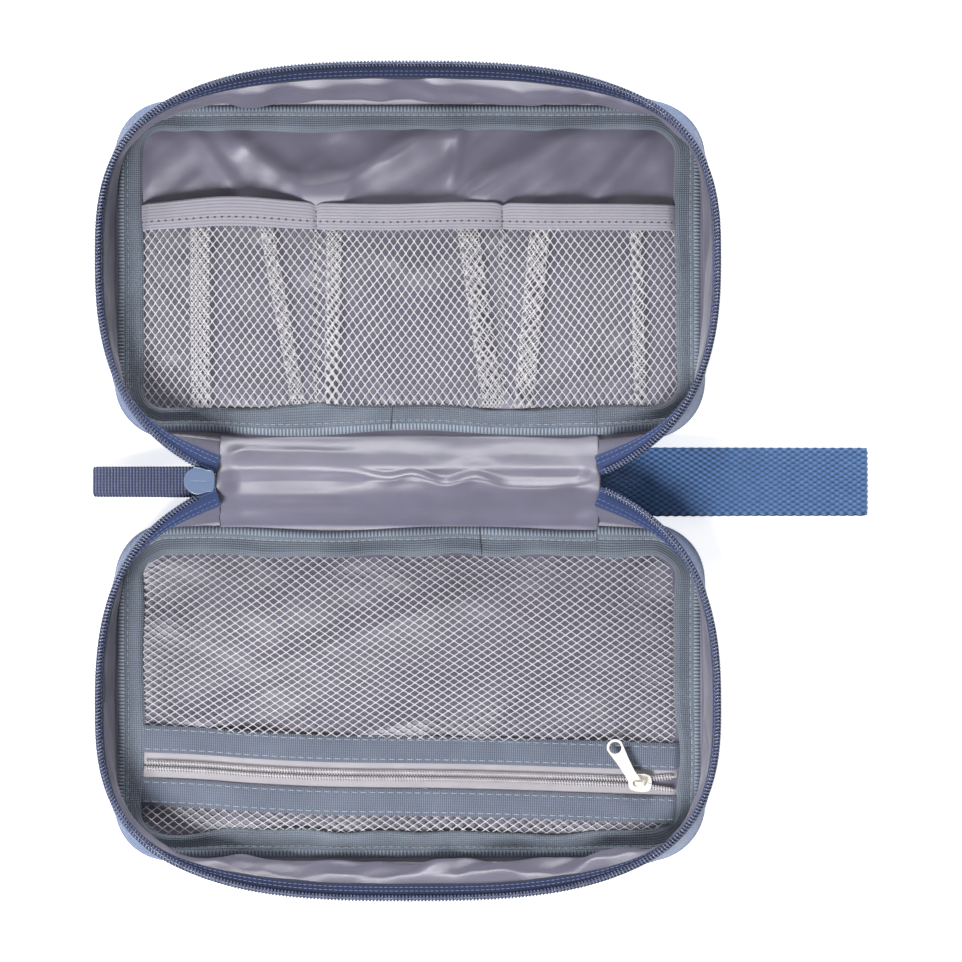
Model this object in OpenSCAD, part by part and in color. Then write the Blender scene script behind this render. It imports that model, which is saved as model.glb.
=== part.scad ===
// Soft zip-around travel organiser for pills and small bottles, lying open like a book.
// Two shallow fabric trays meet along a spine that lies along X. The upper tray (+Y) has three
// open-topped net pockets, the lower tray (-Y) has one net pocket closed by a small zip.
// Millimetres, +Z up, table at z = 0, origin at the middle of the bounding box's bottom.

/* [Case] */
// Half width of the zip line, side to side
rim_w = 117.4; // [113:0.2:121]
// Furthest reach of the zip line from the spine line
rim_far = 156.7; // [152:0.1:162]
// Distance from the spine line to the widest part of the case
rim_mid = 84.2; // [80:0.2:88]
// Height of the zip line over the table, which is half the closed thickness
rim_h = 26; // [25:0.5:32]
// Half width of a base panel
base_w = 113; // [108:0.2:114]
// Distance from the spine line to the near edge of a base panel
base_near = 16.9; // [16:0.1:20]
// Distance from the spine line to the far edge of a base panel
base_far = 145.3; // [141:0.1:148]
// Corner radius of a base panel
base_r = 20.5; // [16:0.5:26]
// Half length of the spine between its two end seams
spine_l = 72; // [70:0.5:74]
// Thickness of the outer cloth
cloth_t = 0.8; // [0.5:0.1:1.2]
// Thickness of the foam sheet in a base
foam_t = 2.6; // [2:0.1:3.4]
// Width of the woven tape that binds the base seams
binding_w = 8.7; // [6:0.1:10]

/* [Net pockets] */
// Distance from the spine line to the lower edge of the elastic band
elastic_y = 95.8; // [88:0.1:102]
// Width of the elastic band
elastic_w = 9.8; // [8:0.1:14]
// Half distance between the two stitched dividers
divider_x = 35.6; // [30:0.1:40]
// Height of the net over the lining in the middle of a pocket
pocket_h = 7.2; // [6:0.1:9]

/* [Zip pocket] */
// Distance from the spine line to the middle of the pocket zip
pocket_zip_y = 111.8; // [108:0.1:116]
// Tilt of the pocket zip in its tray
pocket_zip_tilt = -2; // [-3:0.5:0]
// Width of each woven band beside the pocket zip
band_w = 10.3; // [8:0.1:11]
// Place of the pocket slider along its zip, from the middle
pocket_slider_x = 88; // [40:1:92]
// Angle of the pocket pull tab to the zip at rest
tab_angle = 122; // [100:1:140]
// Radius of the hole at the end of the pocket pull tab
tab_hole_r = 2.3; // [1.8:0.1:2.4]

/* [Handle and pulls] */
// Width of the handle webbing
handle_w = 25; // [20:0.5:25]
// Reach of the handle's end from the middle of the case
handle_reach = 176; // [140:1:200]
// Slope of the handle, down to the table
handle_slope = 4.3; // [3.5:0.1:4.3]
// Reach of the pull ribbon's end from the middle of the case
ribbon_reach = 121.2; // [110:0.2:130]
// Width of the pull ribbon
ribbon_w = 10.8; // [8:0.1:11]
// Slope of the pull ribbon, down to the table
ribbon_slope = 25; // [20:0.5:26]

/* [Hidden] */

$fn = 48;
slack = 0.1;                       // gap between neighbouring layers
rim_near_n = 2.6;                  // how square the zip line's near and far corners are
rim_far_n = 2.8;
rim_near_b = 93.1;                 // reach of the near corner's curve, which the seam cuts short
near_steps = 15;                   // stations along each side, and on towards the far middle
far_steps = 16;
last = 2 * (near_steps + far_steps);
case_x = (ribbon_reach - handle_reach) / 2;   // centres the whole object's box on the origin
axis_z = rim_h;                    // height of the fold line
lining_z = cloth_t + foam_t + 2 * slack;      // underside of the base's lining
lining_t = 0.4;
inside_z = lining_z + lining_t;    // floor of each tray
zip_layer_z = inside_z + 2.2;      // underside of the net and tapes of the zip pocket
net_t = 0.6;
edge_in = 2.8;                     // the binding starts this far inside the base's edge
trim_in = edge_in + binding_w + 0.3;

// ---- outlines -------------------------------------------------------------------------

function superellipse(a, n, b) =
    [rim_w * pow(cos(a), 2 / n), rim_mid + sign(a) * b * pow(abs(sin(a)), 2 / n)];
function arc(cx, cy, r, from, to) =
    [for (k = [0 : 6]) let (a = from + (to - from) * k / 6) [cx + r * cos(a), cy + r * sin(a)]];
function running_length(p) =
    [for (i = 0, s = 0; i < len(p);
          s = s + (i + 1 < len(p) ? norm(p[i + 1] - p[i]) : 0), i = i + 1) s];
function resample(p, n) =
    let (c = running_length(p), total = c[len(c) - 1],
         tx = [for (i = [0 : len(p) - 1]) [c[i], p[i][0]]],
         ty = [for (i = [0 : len(p) - 1]) [c[i], p[i][1]]])
    [for (k = [0 : n]) [lookup(total * k / n, tx), lookup(total * k / n, ty)]];
function with_mirror(half) =
    concat(half, [for (i = [len(half) - 2 : -1 : 0]) [-half[i][0], half[i][1]]]);
function loop(near, far) =
    with_mirror(concat(resample(near, near_steps),
                       [for (k = [1 : far_steps]) resample(far, far_steps)[k]]));

seam_angle = acos(pow(spine_l / rim_w, rim_near_n / 2));
rim = loop([for (k = [0 : 20]) superellipse(-seam_angle * (1 - k / 20), rim_near_n, rim_near_b)],
           [for (k = [0 : 40]) superellipse(90 * k / 40, rim_far_n, rim_far - rim_mid)]);
base = loop(concat([[spine_l, base_near]],
                   arc(base_w - base_r, base_near + base_r, base_r, -90, 0),
                   [[base_w, rim_mid]]),
            concat([[base_w, rim_mid]],
                   arc(base_w - base_r, base_far - base_r, base_r, 0, 90),
                   [[0, base_far]]));

function unit(v) = v / norm(v);
// Points into the tray at station i of an outline that runs from the right seam round to the left.
function inward(p, i) =
    let (t = p[min(i + 1, last)] - p[max(i - 1, 0)]) unit([-t[1], t[0]]);
function between(p, t) = let (i = min(floor(t), last - 1)) p[i] + (p[i + 1] - p[i]) * (t - i);
function outline(d) = [for (i = [0 : last]) base[i] + d * inward(base, i)];
// A point of a tray's wall: station t, share f of the height, d inside the outer face.
function wall(t, f, d) =
    let (i = round(t), n = unit(inward(base, i) * (1 - f) + inward(rim, i) * f),
         p = between(base, t) * (1 - f) + between(rim, t) * f + n * d)
    [p[0], p[1], rim_h * f];

// ---- sweeps ---------------------------------------------------------------------------

// A solid through rings of points; every ring has the same count, in the same order. The first
// half of a ring is one face of the cloth and the rest is the other, going back. The second
// half's quads are split along the other diagonal, so that both faces bend alike.
module skin_rings(rings, closed = false) {
    m = len(rings[0]);
    n = len(rings);
    spans = closed ? n : n - 1;
    sides = [for (i = [0 : spans - 1], j = [0 : m - 1], k = [0, 1])
        let (a = i * m + j, b = i * m + (j + 1) % m,
             c = ((i + 1) % n) * m + (j + 1) % m, d = ((i + 1) % n) * m + j)
        2 * j < m ? (k == 0 ? [a, b, c] : [a, c, d]) : (k == 0 ? [a, b, d] : [b, c, d])];
    caps = closed ? [] : [[for (j = [m - 1 : -1 : 0]) j], [for (j = [0 : m - 1]) (n - 1) * m + j]];
    polyhedron([for (r = rings, p = r) p], concat(sides, caps));
}

// A strip of wall between two heights and two depths, with the heights in between listed.
module wall_strip(heights, outer, inner, from = 0, to = last) {
    stations = concat([for (t = [ceil(from) : floor(to)]) t], to > floor(to) ? [to] : []);
    up = [for (f = heights) f];
    down = [for (k = [len(heights) - 1 : -1 : 0]) heights[k]];
    skin_rings([for (t = stations)
        concat([for (f = down) wall(t, f, outer)], [for (f = up) wall(t, f, inner)])]);
}

module placed() { translate([case_x, 0, 0]) children(); }
module tray(side) { placed() if (side > 0) children(); else mirror([0, 1, 0]) children(); }

// ---- the two trays --------------------------------------------------------------------

module outer_panel(side) color("cornflowerblue")
    tray(side) linear_extrude(cloth_t) polygon(outline(0));

module foam_pad(side) color("whitesmoke")
    tray(side) translate([0, 0, cloth_t + slack]) linear_extrude(foam_t) polygon(outline(edge_in));

module lining_panel(side) color("slategray")
    tray(side) translate([0, 0, lining_z]) linear_extrude(lining_t) polygon(outline(edge_in));

module outer_gusset(side) color("cornflowerblue")
    tray(side) wall_strip([0.04, 0.4, 0.76], 0, cloth_t);

module lining_gusset(side) color("lightslategray")
    tray(side) wall_strip([0.25, 0.45, 0.66], 1.6, 1.6 + lining_t);

module binding(side) color("dimgray") {
    from = edge_in;
    to = edge_in + binding_w;
    low = inside_z + 0.6;
    high = low + 1.6;
    tray(side) skin_rings(closed = true, [for (i = [0 : last])
        let (p = base[i], n = inward(base, i), a = p + n * from, b = p + n * to)
        [[b[0], b[1], low], [a[0], a[1], low], [a[0], a[1], high], [b[0], b[1], high]]]);
}

left_end = last - 1.8;             // the stringers stop here to leave the main slider its room

module zip_tape(side) color("navy")
    tray(side) wall_strip([0.68, 0.8, 0.9], 1, 1.5, 0, left_end);

module zip_coil(side) color("midnightblue")
    tray(side) skin_rings([for (t = concat([for (k = [0 : floor(left_end)]) k], [left_end]))
        let (q = [[0.93, 0.9], [0.905, 1.8], [0.93, 2.7], [0.965, 2.9], [0.99, 1.8], [0.965, 0.5]])
        [for (k = q) wall(t, k[0], k[1])]]);

// A spine wall leans from the base's near edge up to the fold line; a prism along X.
spine_top = [0.7, 22.4];
module spine_wall(side, raise, t, z_from) {
    foot = [base_near, z_from];
    n = unit([spine_top[1] - foot[1], foot[0] - spine_top[0]]);
    tray(side) translate([-spine_l + 0.3, 0, 0]) rotate([90, 0, 90])
        linear_extrude(2 * spine_l - 0.6)
            polygon([foot + n * raise, foot + n * (raise + t),
                     spine_top + n * (raise + t), spine_top + n * raise]);
}
module spine_outer(side) color("cornflowerblue") spine_wall(side, 0, cloth_t, cloth_t + slack);
module spine_lining(side) color("lightslategray") spine_wall(side, 1.6, lining_t, cloth_t + slack);

// ---- net pockets of the upper tray ----------------------------------------------------

pocket_side = base_w - trim_in;    // the pockets reach from side to side inside the binding
pocket_foot = base_near + trim_in;

// Height share across a pocket: steep sides and a broad, slightly crowned middle.
function pocket_profile(s) = pow(sin(180 * s), 0.45);
function pocket_row(x0, x1, lift, raise) =
    [for (k = [0 : 8]) [x0 + (x1 - x0) * k / 8, inside_z + slack + lift * pocket_profile(k / 8) + raise]];

// Rows of a pocket from its foot to the elastic: distance, share of its height, and how far
// its sides are gathered in, which keeps the foot clear of the binding's round corners.
pocket_rows = [[pocket_foot, 0.2, 6.4], [pocket_foot + 4, 0.62, 1], [pocket_foot + 11, 0.94, 0],
               [pocket_foot + 30, 1, 0], [elastic_y - slack, 1, 0]];

module net_pocket(x0, x1) color("lightgray")
    placed() skin_rings([for (r = pocket_rows)
        let (lift = pocket_h * r[1],
             low = pocket_row(x0 + r[2], x1 - r[2], lift, 0),
             high = pocket_row(x0 + r[2], x1 - r[2], lift, net_t))
        concat([for (p = low) [p[0], r[0], p[1]]],
               [for (k = [8 : -1 : 0]) [high[k][0], r[0], high[k][1]]])]);

pocket_gap = 0.6;
pocket_edges = [-pocket_side, -divider_x, divider_x, pocket_side];

module net_pocket_number(k)
    net_pocket(pocket_edges[k] + pocket_gap, pocket_edges[k + 1] - pocket_gap);

module net_pocket_elastic() color("silver") {
    t = 1;
    low = [for (k = [0 : 2]) each pocket_row(pocket_edges[k], pocket_edges[k + 1], pocket_h, 0)];
    placed() translate([0, elastic_y + elastic_w, 0]) rotate([90, 0, 0])
        linear_extrude(elastic_w)
            polygon(concat(low, [for (k = [len(low) - 1 : -1 : 0]) low[k] + [0, t]]));
}

// ---- zip pocket of the lower tray -----------------------------------------------------

// Frame of the pocket zip: X along it, +Y towards the spine.
module on_pocket_zip() {
    placed() translate([0, -pocket_zip_y, 0]) rotate([0, 0, pocket_zip_tilt]) children();
}
module zip_bar(y0, y1, z, t) {
    on_pocket_zip() translate([-pocket_side, y0, z]) cube([2 * pocket_side - 1, y1 - y0, t]);
}
zip_end = 6.4;                     // half width of the pocket zip with its two tapes
band_from = 4.9;
coil_r = 2.2;
coil_z = zip_layer_z + net_t + slack;
coil_t = 1.6;

module net_sheet(from, to) color("lightgray")
    intersection() {
        tray(-1) translate([0, 0, zip_layer_z]) linear_extrude(net_t) polygon(outline(trim_in));
        on_pocket_zip() translate([-2 * rim_w, from, 0]) cube([4 * rim_w, to - from, rim_h]);
    }
module band(s) color("slategray")
    zip_bar(s > 0 ? band_from : -band_from - band_w, s > 0 ? band_from + band_w : -band_from,
            coil_z, 0.8);
module pocket_tape(s) color("gainsboro")
    zip_bar(s > 0 ? 0.3 : -zip_end, s > 0 ? zip_end : -0.3, zip_layer_z, net_t);
module pocket_coil(s) color("lightgray")
    zip_bar(s > 0 ? 0.15 : -coil_r, s > 0 ? coil_r : -0.15, coil_z, coil_t);

// Slider of the pocket zip: two plates joined by a neck, lips at the sides, and a bridge.
plate_t = 0.9;
slider_top = coil_z + coil_t + 0.25;         // underside of the top plate
bridge_z = slider_top + plate_t + 1.3;       // height of the pull tab's pivot
bridge_in = 1.2;
bridge_out = 2.2;
module pocket_slider_outline() polygon([
    [-4.4, -2.6], [-4.4, 2.6], [-1.5, 3.1], [2.2, 3.5], [4, 2.6], [4.6, 0], [4, -2.6],
    [2.2, -3.5], [-1.5, -3.1]]);
module on_pocket_slider() { on_pocket_zip() translate([pocket_slider_x, 0, 0]) children(); }

module pocket_slider_body() color("ghostwhite") on_pocket_slider() {
    low = zip_layer_z - 0.25 - plate_t;
    translate([0, 0, low]) linear_extrude(plate_t) pocket_slider_outline();
    translate([0, 0, slider_top]) linear_extrude(plate_t) pocket_slider_outline();
    // The neck stands between the two rows of coil, ahead of the closed part.
    translate([3.4, -0.1, low]) cube([0.9, 0.2, slider_top - low + plate_t]);
    for (s = [-1, 1]) translate([-2, s * 2.85 - 0.35, slider_top - 0.7]) cube([3.6, 0.7, 1]);
    translate([0, 0, bridge_z]) rotate([90, 0, 0]) translate([0, 0, -0.7])
        rotate_extrude(angle = 180) translate([bridge_in, 0]) square([bridge_out - bridge_in, 1.4]);
    for (s = [-1, 1]) translate([s * (bridge_in + bridge_out) / 2 - 0.5, -0.7, bridge_z - 1.4])
        cube([1, 1.4, 1.4]);
}

// The tab's eye holds the bridge, so it turns about the line Y through the bridge's centre.
tab_t = 0.9;
eye_x = -1.75;
eye_r = 2.4;
eye_hole_r = 1.15;
tab_l = 15.6;
module pocket_pull_tab() color("white") on_pocket_slider() translate([0, 0, bridge_z - tab_t / 2])
    difference() {
        linear_extrude(tab_t) {
            translate([eye_x, 0]) circle(eye_r);
            translate([eye_x, 0]) rotate(tab_angle) {
                polygon([[0, -2], [tab_l, -2.6], [tab_l, 2.6], [0, 2]]);
                translate([tab_l, 0]) circle(3.2);
            }
        }
        translate([eye_x, 0, -1]) cylinder(r = eye_hole_r, h = 3);
        translate([eye_x, 0, -1]) rotate(tab_angle) translate([tab_l, 0, 0])
            cylinder(r = tab_hole_r, h = 3);
    }

// ---- spine, main slider and pull ------------------------------------------------------

ridge_z = 19.6;
module spine_ridge() color("cornflowerblue")
    placed() translate([-spine_l + 1, -1.5, ridge_z]) cube([2 * spine_l - 2, 3, 1.2]);

// The short closed piece of chain that the main slider holds when the case is open.
slider_end = -spine_l - 0.6;       // the slider's end at the seam
chain_t = 1.3;
module zip_chain_end() color("midnightblue")
    placed() translate([slider_end - 7.2, -2.4, axis_z - 1.75]) cube([7.6, 4.8, chain_t]);

module main_slider_outline() polygon([
    [0, 3.6], [-2.2, 3.75], [-4.4, 4.3], [-6.2, 4.45], [-8, 3.9], [-9.7, 2.5], [-10.7, 0.9],
    [-10.7, -0.9], [-9.7, -2.5], [-8, -3.9], [-6.2, -4.45], [-4.4, -4.3], [-2.2, -3.75], [0, -3.6]]);
main_pivot = [slider_end - 4.6, axis_z - 4.3];      // x and z of the pull's pivot
module main_slider_body() color("lightsteelblue") placed() {
    translate([slider_end, 0, axis_z - 0.25]) linear_extrude(1.2) main_slider_outline();
    translate([slider_end, 0, axis_z - 3.2]) linear_extrude(1.2) main_slider_outline();
    translate([slider_end - 9.7, -1, axis_z - 3]) cube([1.6, 2, 3.4]);
    for (s = [-1, 1]) translate([slider_end - 6.5, s * 3.3 - 0.4, axis_z - 2.1]) cube([5, 0.8, 0.7]);
    translate([main_pivot[0], 0, main_pivot[1]]) rotate([-90, 0, 0]) translate([0, 0, -0.8])
        rotate_extrude(angle = 180) translate([bridge_in, 0]) square([bridge_out - bridge_in, 1.6]);
    for (s = [-1, 1])
        translate([main_pivot[0] + s * (bridge_in + bridge_out) / 2 - 0.5, -0.8, main_pivot[1]])
            cube([1, 1.6, 1.4]);
}

// Frame of the pull: its pivot, with -X along the ribbon, sloping down to the table.
module on_main_pull() {
    placed() translate([main_pivot[0], 0, main_pivot[1]]) rotate([0, -ribbon_slope, 0]) children();
}
link_l = 9;
module main_pull_link() color("lightsteelblue") on_main_pull() translate([0, 0, -0.45])
    difference() {
        linear_extrude(0.9) {
            translate([eye_x, 0]) circle(eye_r);
            translate([-link_l, -2]) square([link_l + eye_x, 4]);
            translate([-link_l - 2.4, -ribbon_w / 2 - 0.8]) square([2.6, ribbon_w + 1.6]);
        }
        translate([eye_x, 0, -1]) cylinder(r = eye_hole_r, h = 3);
    }

ribbon_l = (ribbon_reach + main_pivot[0]) / cos(ribbon_slope);
module main_pull_ribbon() color("darkslateblue") on_main_pull() {
    from = -link_l - 3;
    rotate([90, 0, 0]) translate([0, 0, -ribbon_w / 2]) linear_extrude(ribbon_w) {
        translate([-ribbon_l + 0.8, -0.8]) square([ribbon_l + from - 0.8, 1.6]);
        translate([-ribbon_l + 0.8, 0]) circle(0.8);
    }
}

// ---- handle ---------------------------------------------------------------------------

handle_t = 3.2;
web_t = 1.2;
root_top = 9.6;                    // height of the flat webbing where it leaves the spine
hinge_x = 94;
hinge_z = root_top - handle_t / 2;
// At the seam the webbing is bent over the spine's fold, and it flattens further out.
module handle_root() color("steelblue") {
    tilt = 0.95;
    places = [[66, 0], [72, 0.12], [76, 0.4], [80, 0.7], [84, 0.92], [hinge_x - 1.5, 0.98]];
    placed() skin_rings([for (p = places)
        let (k = p[1], w = 9 + (handle_w / 2 - 9) * k, bend = tilt * (1 - k),
             mid = 18.8 * (1 - k) + root_top * k, thick = handle_t * sqrt(1 + bend * bend))
        concat([for (s = [-1, -0.5, 0, 0.5, 1]) [p[0], w * s, mid - bend * w * abs(s) - thick]],
               [for (s = [1, 0.5, 0, -0.5, -1]) [p[0], w * s, mid - bend * w * abs(s)]])]);
}

loop_l = (handle_reach - hinge_x) / cos(handle_slope);
module handle_loop() color("steelblue")
    placed() translate([hinge_x, 0, hinge_z]) rotate([0, handle_slope, 0])
        rotate([90, 0, 0]) translate([0, 0, -handle_w / 2]) linear_extrude(handle_w)
            difference() {
                union() {
                    translate([0.6, -handle_t / 2]) square([loop_l - 0.6 - handle_t / 2, handle_t]);
                    translate([loop_l - handle_t / 2, 0]) circle(handle_t / 2);
                }
                translate([8, -handle_t / 2 + web_t])
                    square([loop_l - 8 - handle_t / 2, handle_t - 2 * web_t]);
            }

outer_panel(-1);  // lower_outer_panel
foam_pad(-1);  // lower_foam_pad
lining_panel(-1);  // lower_lining_panel
outer_gusset(-1);  // lower_outer_gusset
lining_gusset(-1);  // lower_lining_gusset
binding(-1);  // lower_binding
zip_tape(-1);  // lower_zip_tape
zip_coil(-1);  // lower_zip_coil
spine_outer(-1);  // lower_spine_outer
spine_lining(-1);  // lower_spine_lining
net_sheet(zip_end + 0.2, 2 * rim_w);  // zip_pocket_net
net_sheet(-2 * rim_w, -zip_end - 0.2);  // zip_pocket_net_strip
band(1);  // zip_pocket_band_near
band(-1);  // zip_pocket_band_far
pocket_tape(1);  // zip_pocket_tape_near
pocket_tape(-1);  // zip_pocket_tape_far
pocket_coil(1);  // zip_pocket_coil_near
pocket_coil(-1);  // zip_pocket_coil_far
pocket_slider_body();
pocket_pull_tab();
outer_panel(1);  // upper_outer_panel
foam_pad(1);  // upper_foam_pad
lining_panel(1);  // upper_lining_panel
outer_gusset(1);  // upper_outer_gusset
lining_gusset(1);  // upper_lining_gusset
binding(1);  // upper_binding
zip_tape(1);  // upper_zip_tape
zip_coil(1);  // upper_zip_coil
spine_outer(1);  // upper_spine_outer
spine_lining(1);  // upper_spine_lining
net_pocket_number(0);  // net_pocket_left
net_pocket_number(1);  // net_pocket_middle
net_pocket_number(2);  // net_pocket_right
net_pocket_elastic();
spine_ridge();
zip_chain_end();
handle_root();
handle_loop();
main_slider_body();
main_pull_link();
main_pull_ribbon();
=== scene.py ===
import math

import bpy
import numpy as np
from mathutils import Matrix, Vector

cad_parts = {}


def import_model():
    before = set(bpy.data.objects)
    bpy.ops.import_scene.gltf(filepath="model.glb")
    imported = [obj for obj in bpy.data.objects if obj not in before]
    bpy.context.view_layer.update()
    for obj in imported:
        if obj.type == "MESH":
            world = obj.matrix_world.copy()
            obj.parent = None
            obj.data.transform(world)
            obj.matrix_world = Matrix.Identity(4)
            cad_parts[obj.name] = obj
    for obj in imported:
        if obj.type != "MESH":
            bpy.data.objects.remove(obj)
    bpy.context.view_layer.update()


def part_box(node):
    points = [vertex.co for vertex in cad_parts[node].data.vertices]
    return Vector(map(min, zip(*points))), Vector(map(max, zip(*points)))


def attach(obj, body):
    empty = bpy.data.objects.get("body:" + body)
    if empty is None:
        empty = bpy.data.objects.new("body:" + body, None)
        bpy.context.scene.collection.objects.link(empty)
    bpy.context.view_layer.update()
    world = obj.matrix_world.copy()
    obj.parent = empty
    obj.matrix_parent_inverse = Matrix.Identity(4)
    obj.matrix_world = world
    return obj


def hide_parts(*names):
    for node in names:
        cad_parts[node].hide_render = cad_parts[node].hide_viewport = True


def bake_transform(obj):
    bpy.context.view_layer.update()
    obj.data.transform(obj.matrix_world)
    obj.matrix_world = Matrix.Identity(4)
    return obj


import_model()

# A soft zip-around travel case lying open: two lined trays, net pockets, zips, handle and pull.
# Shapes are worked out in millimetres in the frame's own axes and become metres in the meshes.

MM = 0.001
LOWER, UPPER = "lower_case", "upper_case"
SIDES = {"lower": -1, "upper": 1}
BODY = {"lower": LOWER, "upper": UPPER}


def box_mm(node):
    """The node's lowest and highest corners in millimetres."""
    low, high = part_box(node)
    return np.array(low) / MM, np.array(high) / MM


PANEL_LOW, PANEL_HIGH = box_mm("upper_outer_panel")
CASE_X = (PANEL_LOW[0] + PANEL_HIGH[0]) / 2
BASE_W = (PANEL_HIGH[0] - PANEL_LOW[0]) / 2
BASE_NEAR, BASE_FAR = PANEL_LOW[1], PANEL_HIGH[1]
BASE_R = 20.5
LINING_Z = box_mm("upper_lining_panel")[1][2]
SPINE_L = box_mm("upper_spine_outer")[1][0] - CASE_X + 0.3
RIM_W, RIM_MID, RIM_FAR, RIM_H = 117.4, 84.2, 156.7, 26.0
RIM_NEAR_N, RIM_FAR_N, RIM_NEAR_B = 2.6, 2.8, 93.1
NEAR_STEPS, FAR_STEPS = 15, 16
LAST = 2 * (NEAR_STEPS + FAR_STEPS)


# ---- outlines ------------------------------------------------------------------------------


def by_length(points):
    """Share of the length at each point of a line, and the points."""
    points = np.array(points, float)
    step = np.linalg.norm(np.diff(points, axis=0), axis=1)
    share = np.concatenate([[0], np.cumsum(step)])
    return share / share[-1], points


def arc(cx, cy, r, start, stop, n=24):
    a = np.radians(np.linspace(start, stop, n))
    return np.column_stack([cx + r * np.cos(a), cy + r * np.sin(a)])


def superellipse(degrees, n, b):
    a = np.radians(degrees)
    x = RIM_W * np.abs(np.cos(a)) ** (2 / n)
    y = RIM_MID + np.sign(a) * b * np.abs(np.sin(a)) ** (2 / n)
    return np.column_stack([x, y])


def follow(near, far, t):
    """Point at station t of a line from the right seam, round the far side, to the left seam."""
    t = np.clip(np.asarray(t, float), 0, LAST)
    m = np.minimum(t, LAST - t)
    first = m <= NEAR_STEPS
    out = np.empty(t.shape + (2,))
    for k in (0, 1):
        a = np.interp(m / NEAR_STEPS, near[0], near[1][:, k])
        b = np.interp((m - NEAR_STEPS) / FAR_STEPS, far[0], far[1][:, k])
        out[..., k] = np.where(first, a, b)
    out[..., 0] *= np.where(t > LAST / 2, -1, 1)
    return out


SEAM_ANGLE = math.degrees(math.acos((SPINE_L / RIM_W) ** (RIM_NEAR_N / 2)))
RIM_LINES = (
    by_length(superellipse(np.linspace(-SEAM_ANGLE, 0, 300), RIM_NEAR_N, RIM_NEAR_B)),
    by_length(superellipse(np.linspace(0, 90, 400), RIM_FAR_N, RIM_FAR - RIM_MID)),
)
NEAR_CORNER = arc(BASE_W - BASE_R, BASE_NEAR + BASE_R, BASE_R, -90, 0)
FAR_CORNER = arc(BASE_W - BASE_R, BASE_FAR - BASE_R, BASE_R, 0, 90)
BASE_LINES = (
    by_length(np.vstack([[[SPINE_L, BASE_NEAR]], NEAR_CORNER, [[BASE_W, RIM_MID]]])),
    by_length(np.vstack([[[BASE_W, RIM_MID]], FAR_CORNER, [[0, BASE_FAR]]])),
)


def unit(v):
    return v / np.maximum(np.linalg.norm(v, axis=-1, keepdims=True), 1e-9)


def rim(t):
    return follow(*RIM_LINES, t)


def base(t):
    return follow(*BASE_LINES, t)


def inward(line, t):
    d = line(np.minimum(t + 0.4, LAST)) - line(np.maximum(t - 0.4, 0))
    return unit(np.stack([-d[..., 1], d[..., 0]], axis=-1))


def base_ring(count, straight):
    """The closed outline of a panel and its inward directions, starting at the right seam."""
    t = np.linspace(0, LAST, count)
    x = np.linspace(-SPINE_L, SPINE_L, straight + 2)[1:-1]
    near = np.column_stack([x, np.full(straight, BASE_NEAR)])
    points = np.vstack([base(t), near])
    normals = np.vstack([inward(base, t), np.tile([0.0, 1.0], (straight, 1))])
    return points, normals


def world(side, x, y, z):
    """Case coordinates, mirrored for the lower tray, as points of the frame."""
    x, y, z = np.broadcast_arrays(x, y, z)
    return np.stack([x + CASE_X, SIDES[side] * y, z], axis=-1).astype(float)


def from_middle(x, y, z):
    """Points whose x runs from the case's middle."""
    return np.stack([x + CASE_X, y, z], axis=-1)


def wall(side, t, f, d, rise=0.0):
    """Point of a tray's wall at station t, share f of its height, d mm inside its outer face."""
    t, f, d = np.broadcast_arrays(np.asarray(t, float), f, d)
    n = unit(inward(base, t) * (1 - f)[..., None] + inward(rim, t) * f[..., None])
    p = base(t) * (1 - f)[..., None] + rim(t) * f[..., None] + n * d[..., None]
    return world(side, p[..., 0], p[..., 1], RIM_H * f + rise)


def smooth(x, a, b):
    """0 before a, 1 after b, and an even curve between."""
    k = np.clip((np.asarray(x, float) - a) / (b - a), 0, 1)
    return k * k * (3 - 2 * k)


def bell(x, middle, width):
    """1 at the middle, fading to 0 over a few widths."""
    return np.exp(-(((x - middle) / width) ** 2))


def wavy(x, seed, pitch):
    """An even, repeatable ripple from -1 to 1 along a line."""
    rng = np.random.default_rng(seed)
    total = 0
    for _ in range(4):
        total = total + np.sin(2 * np.pi * x / (pitch * rng.uniform(0.6, 1.7)) + rng.uniform(0, 6.3))
    return total / 2.6


def rumple(x, y, seed, pitch, stretch=1.0, angle=0.0):
    """Smooth noise for cloth: folds lie along angle, and stretch is their length over width."""
    rng = np.random.default_rng(seed)
    table = rng.uniform(-1, 1, (64, 64))
    a = math.radians(angle)
    u = (x * math.cos(a) + y * math.sin(a)) / (pitch * stretch) + 17.3
    v = (-x * math.sin(a) + y * math.cos(a)) / pitch + 31.7
    iu, iv = np.floor(u).astype(int), np.floor(v).astype(int)
    fu, fv = u - iu, v - iv
    su, sv = fu**3 * (fu * (6 * fu - 15) + 10), fv**3 * (fv * (6 * fv - 15) + 10)
    def at(i, j):
        return table[(iu + i) % 64, (iv + j) % 64]
    low = at(0, 0) * (1 - su) + at(1, 0) * su
    high = at(0, 1) * (1 - su) + at(1, 1) * su
    return low * (1 - sv) + high * sv


def along(points):
    """Running length along the first axis of a grid of points."""
    step = np.linalg.norm(np.diff(points, axis=0), axis=-1)
    return np.concatenate([np.zeros((1,) + step.shape[1:]), np.cumsum(step, axis=0)])


def at_length(path, s):
    """Points of a line at running lengths s."""
    length = along(path[:, None, :])[:, 0]
    return np.stack([np.interp(s, length, path[:, k]) for k in range(3)], axis=-1)


def grid(u, v):
    """Every pair of values from u and v, as two tables."""
    return np.meshgrid(u, v, indexing="ij")


# ---- meshes --------------------------------------------------------------------------------

X_AXIS = np.array([[1.0, 0, 0]])
Z_AXIS = np.array([[0, 0, 1.0]])


def placed(name, data):
    """A new object in the scene."""
    obj = bpy.data.objects.new(name, data)
    bpy.context.collection.objects.link(obj)
    return obj


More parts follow.
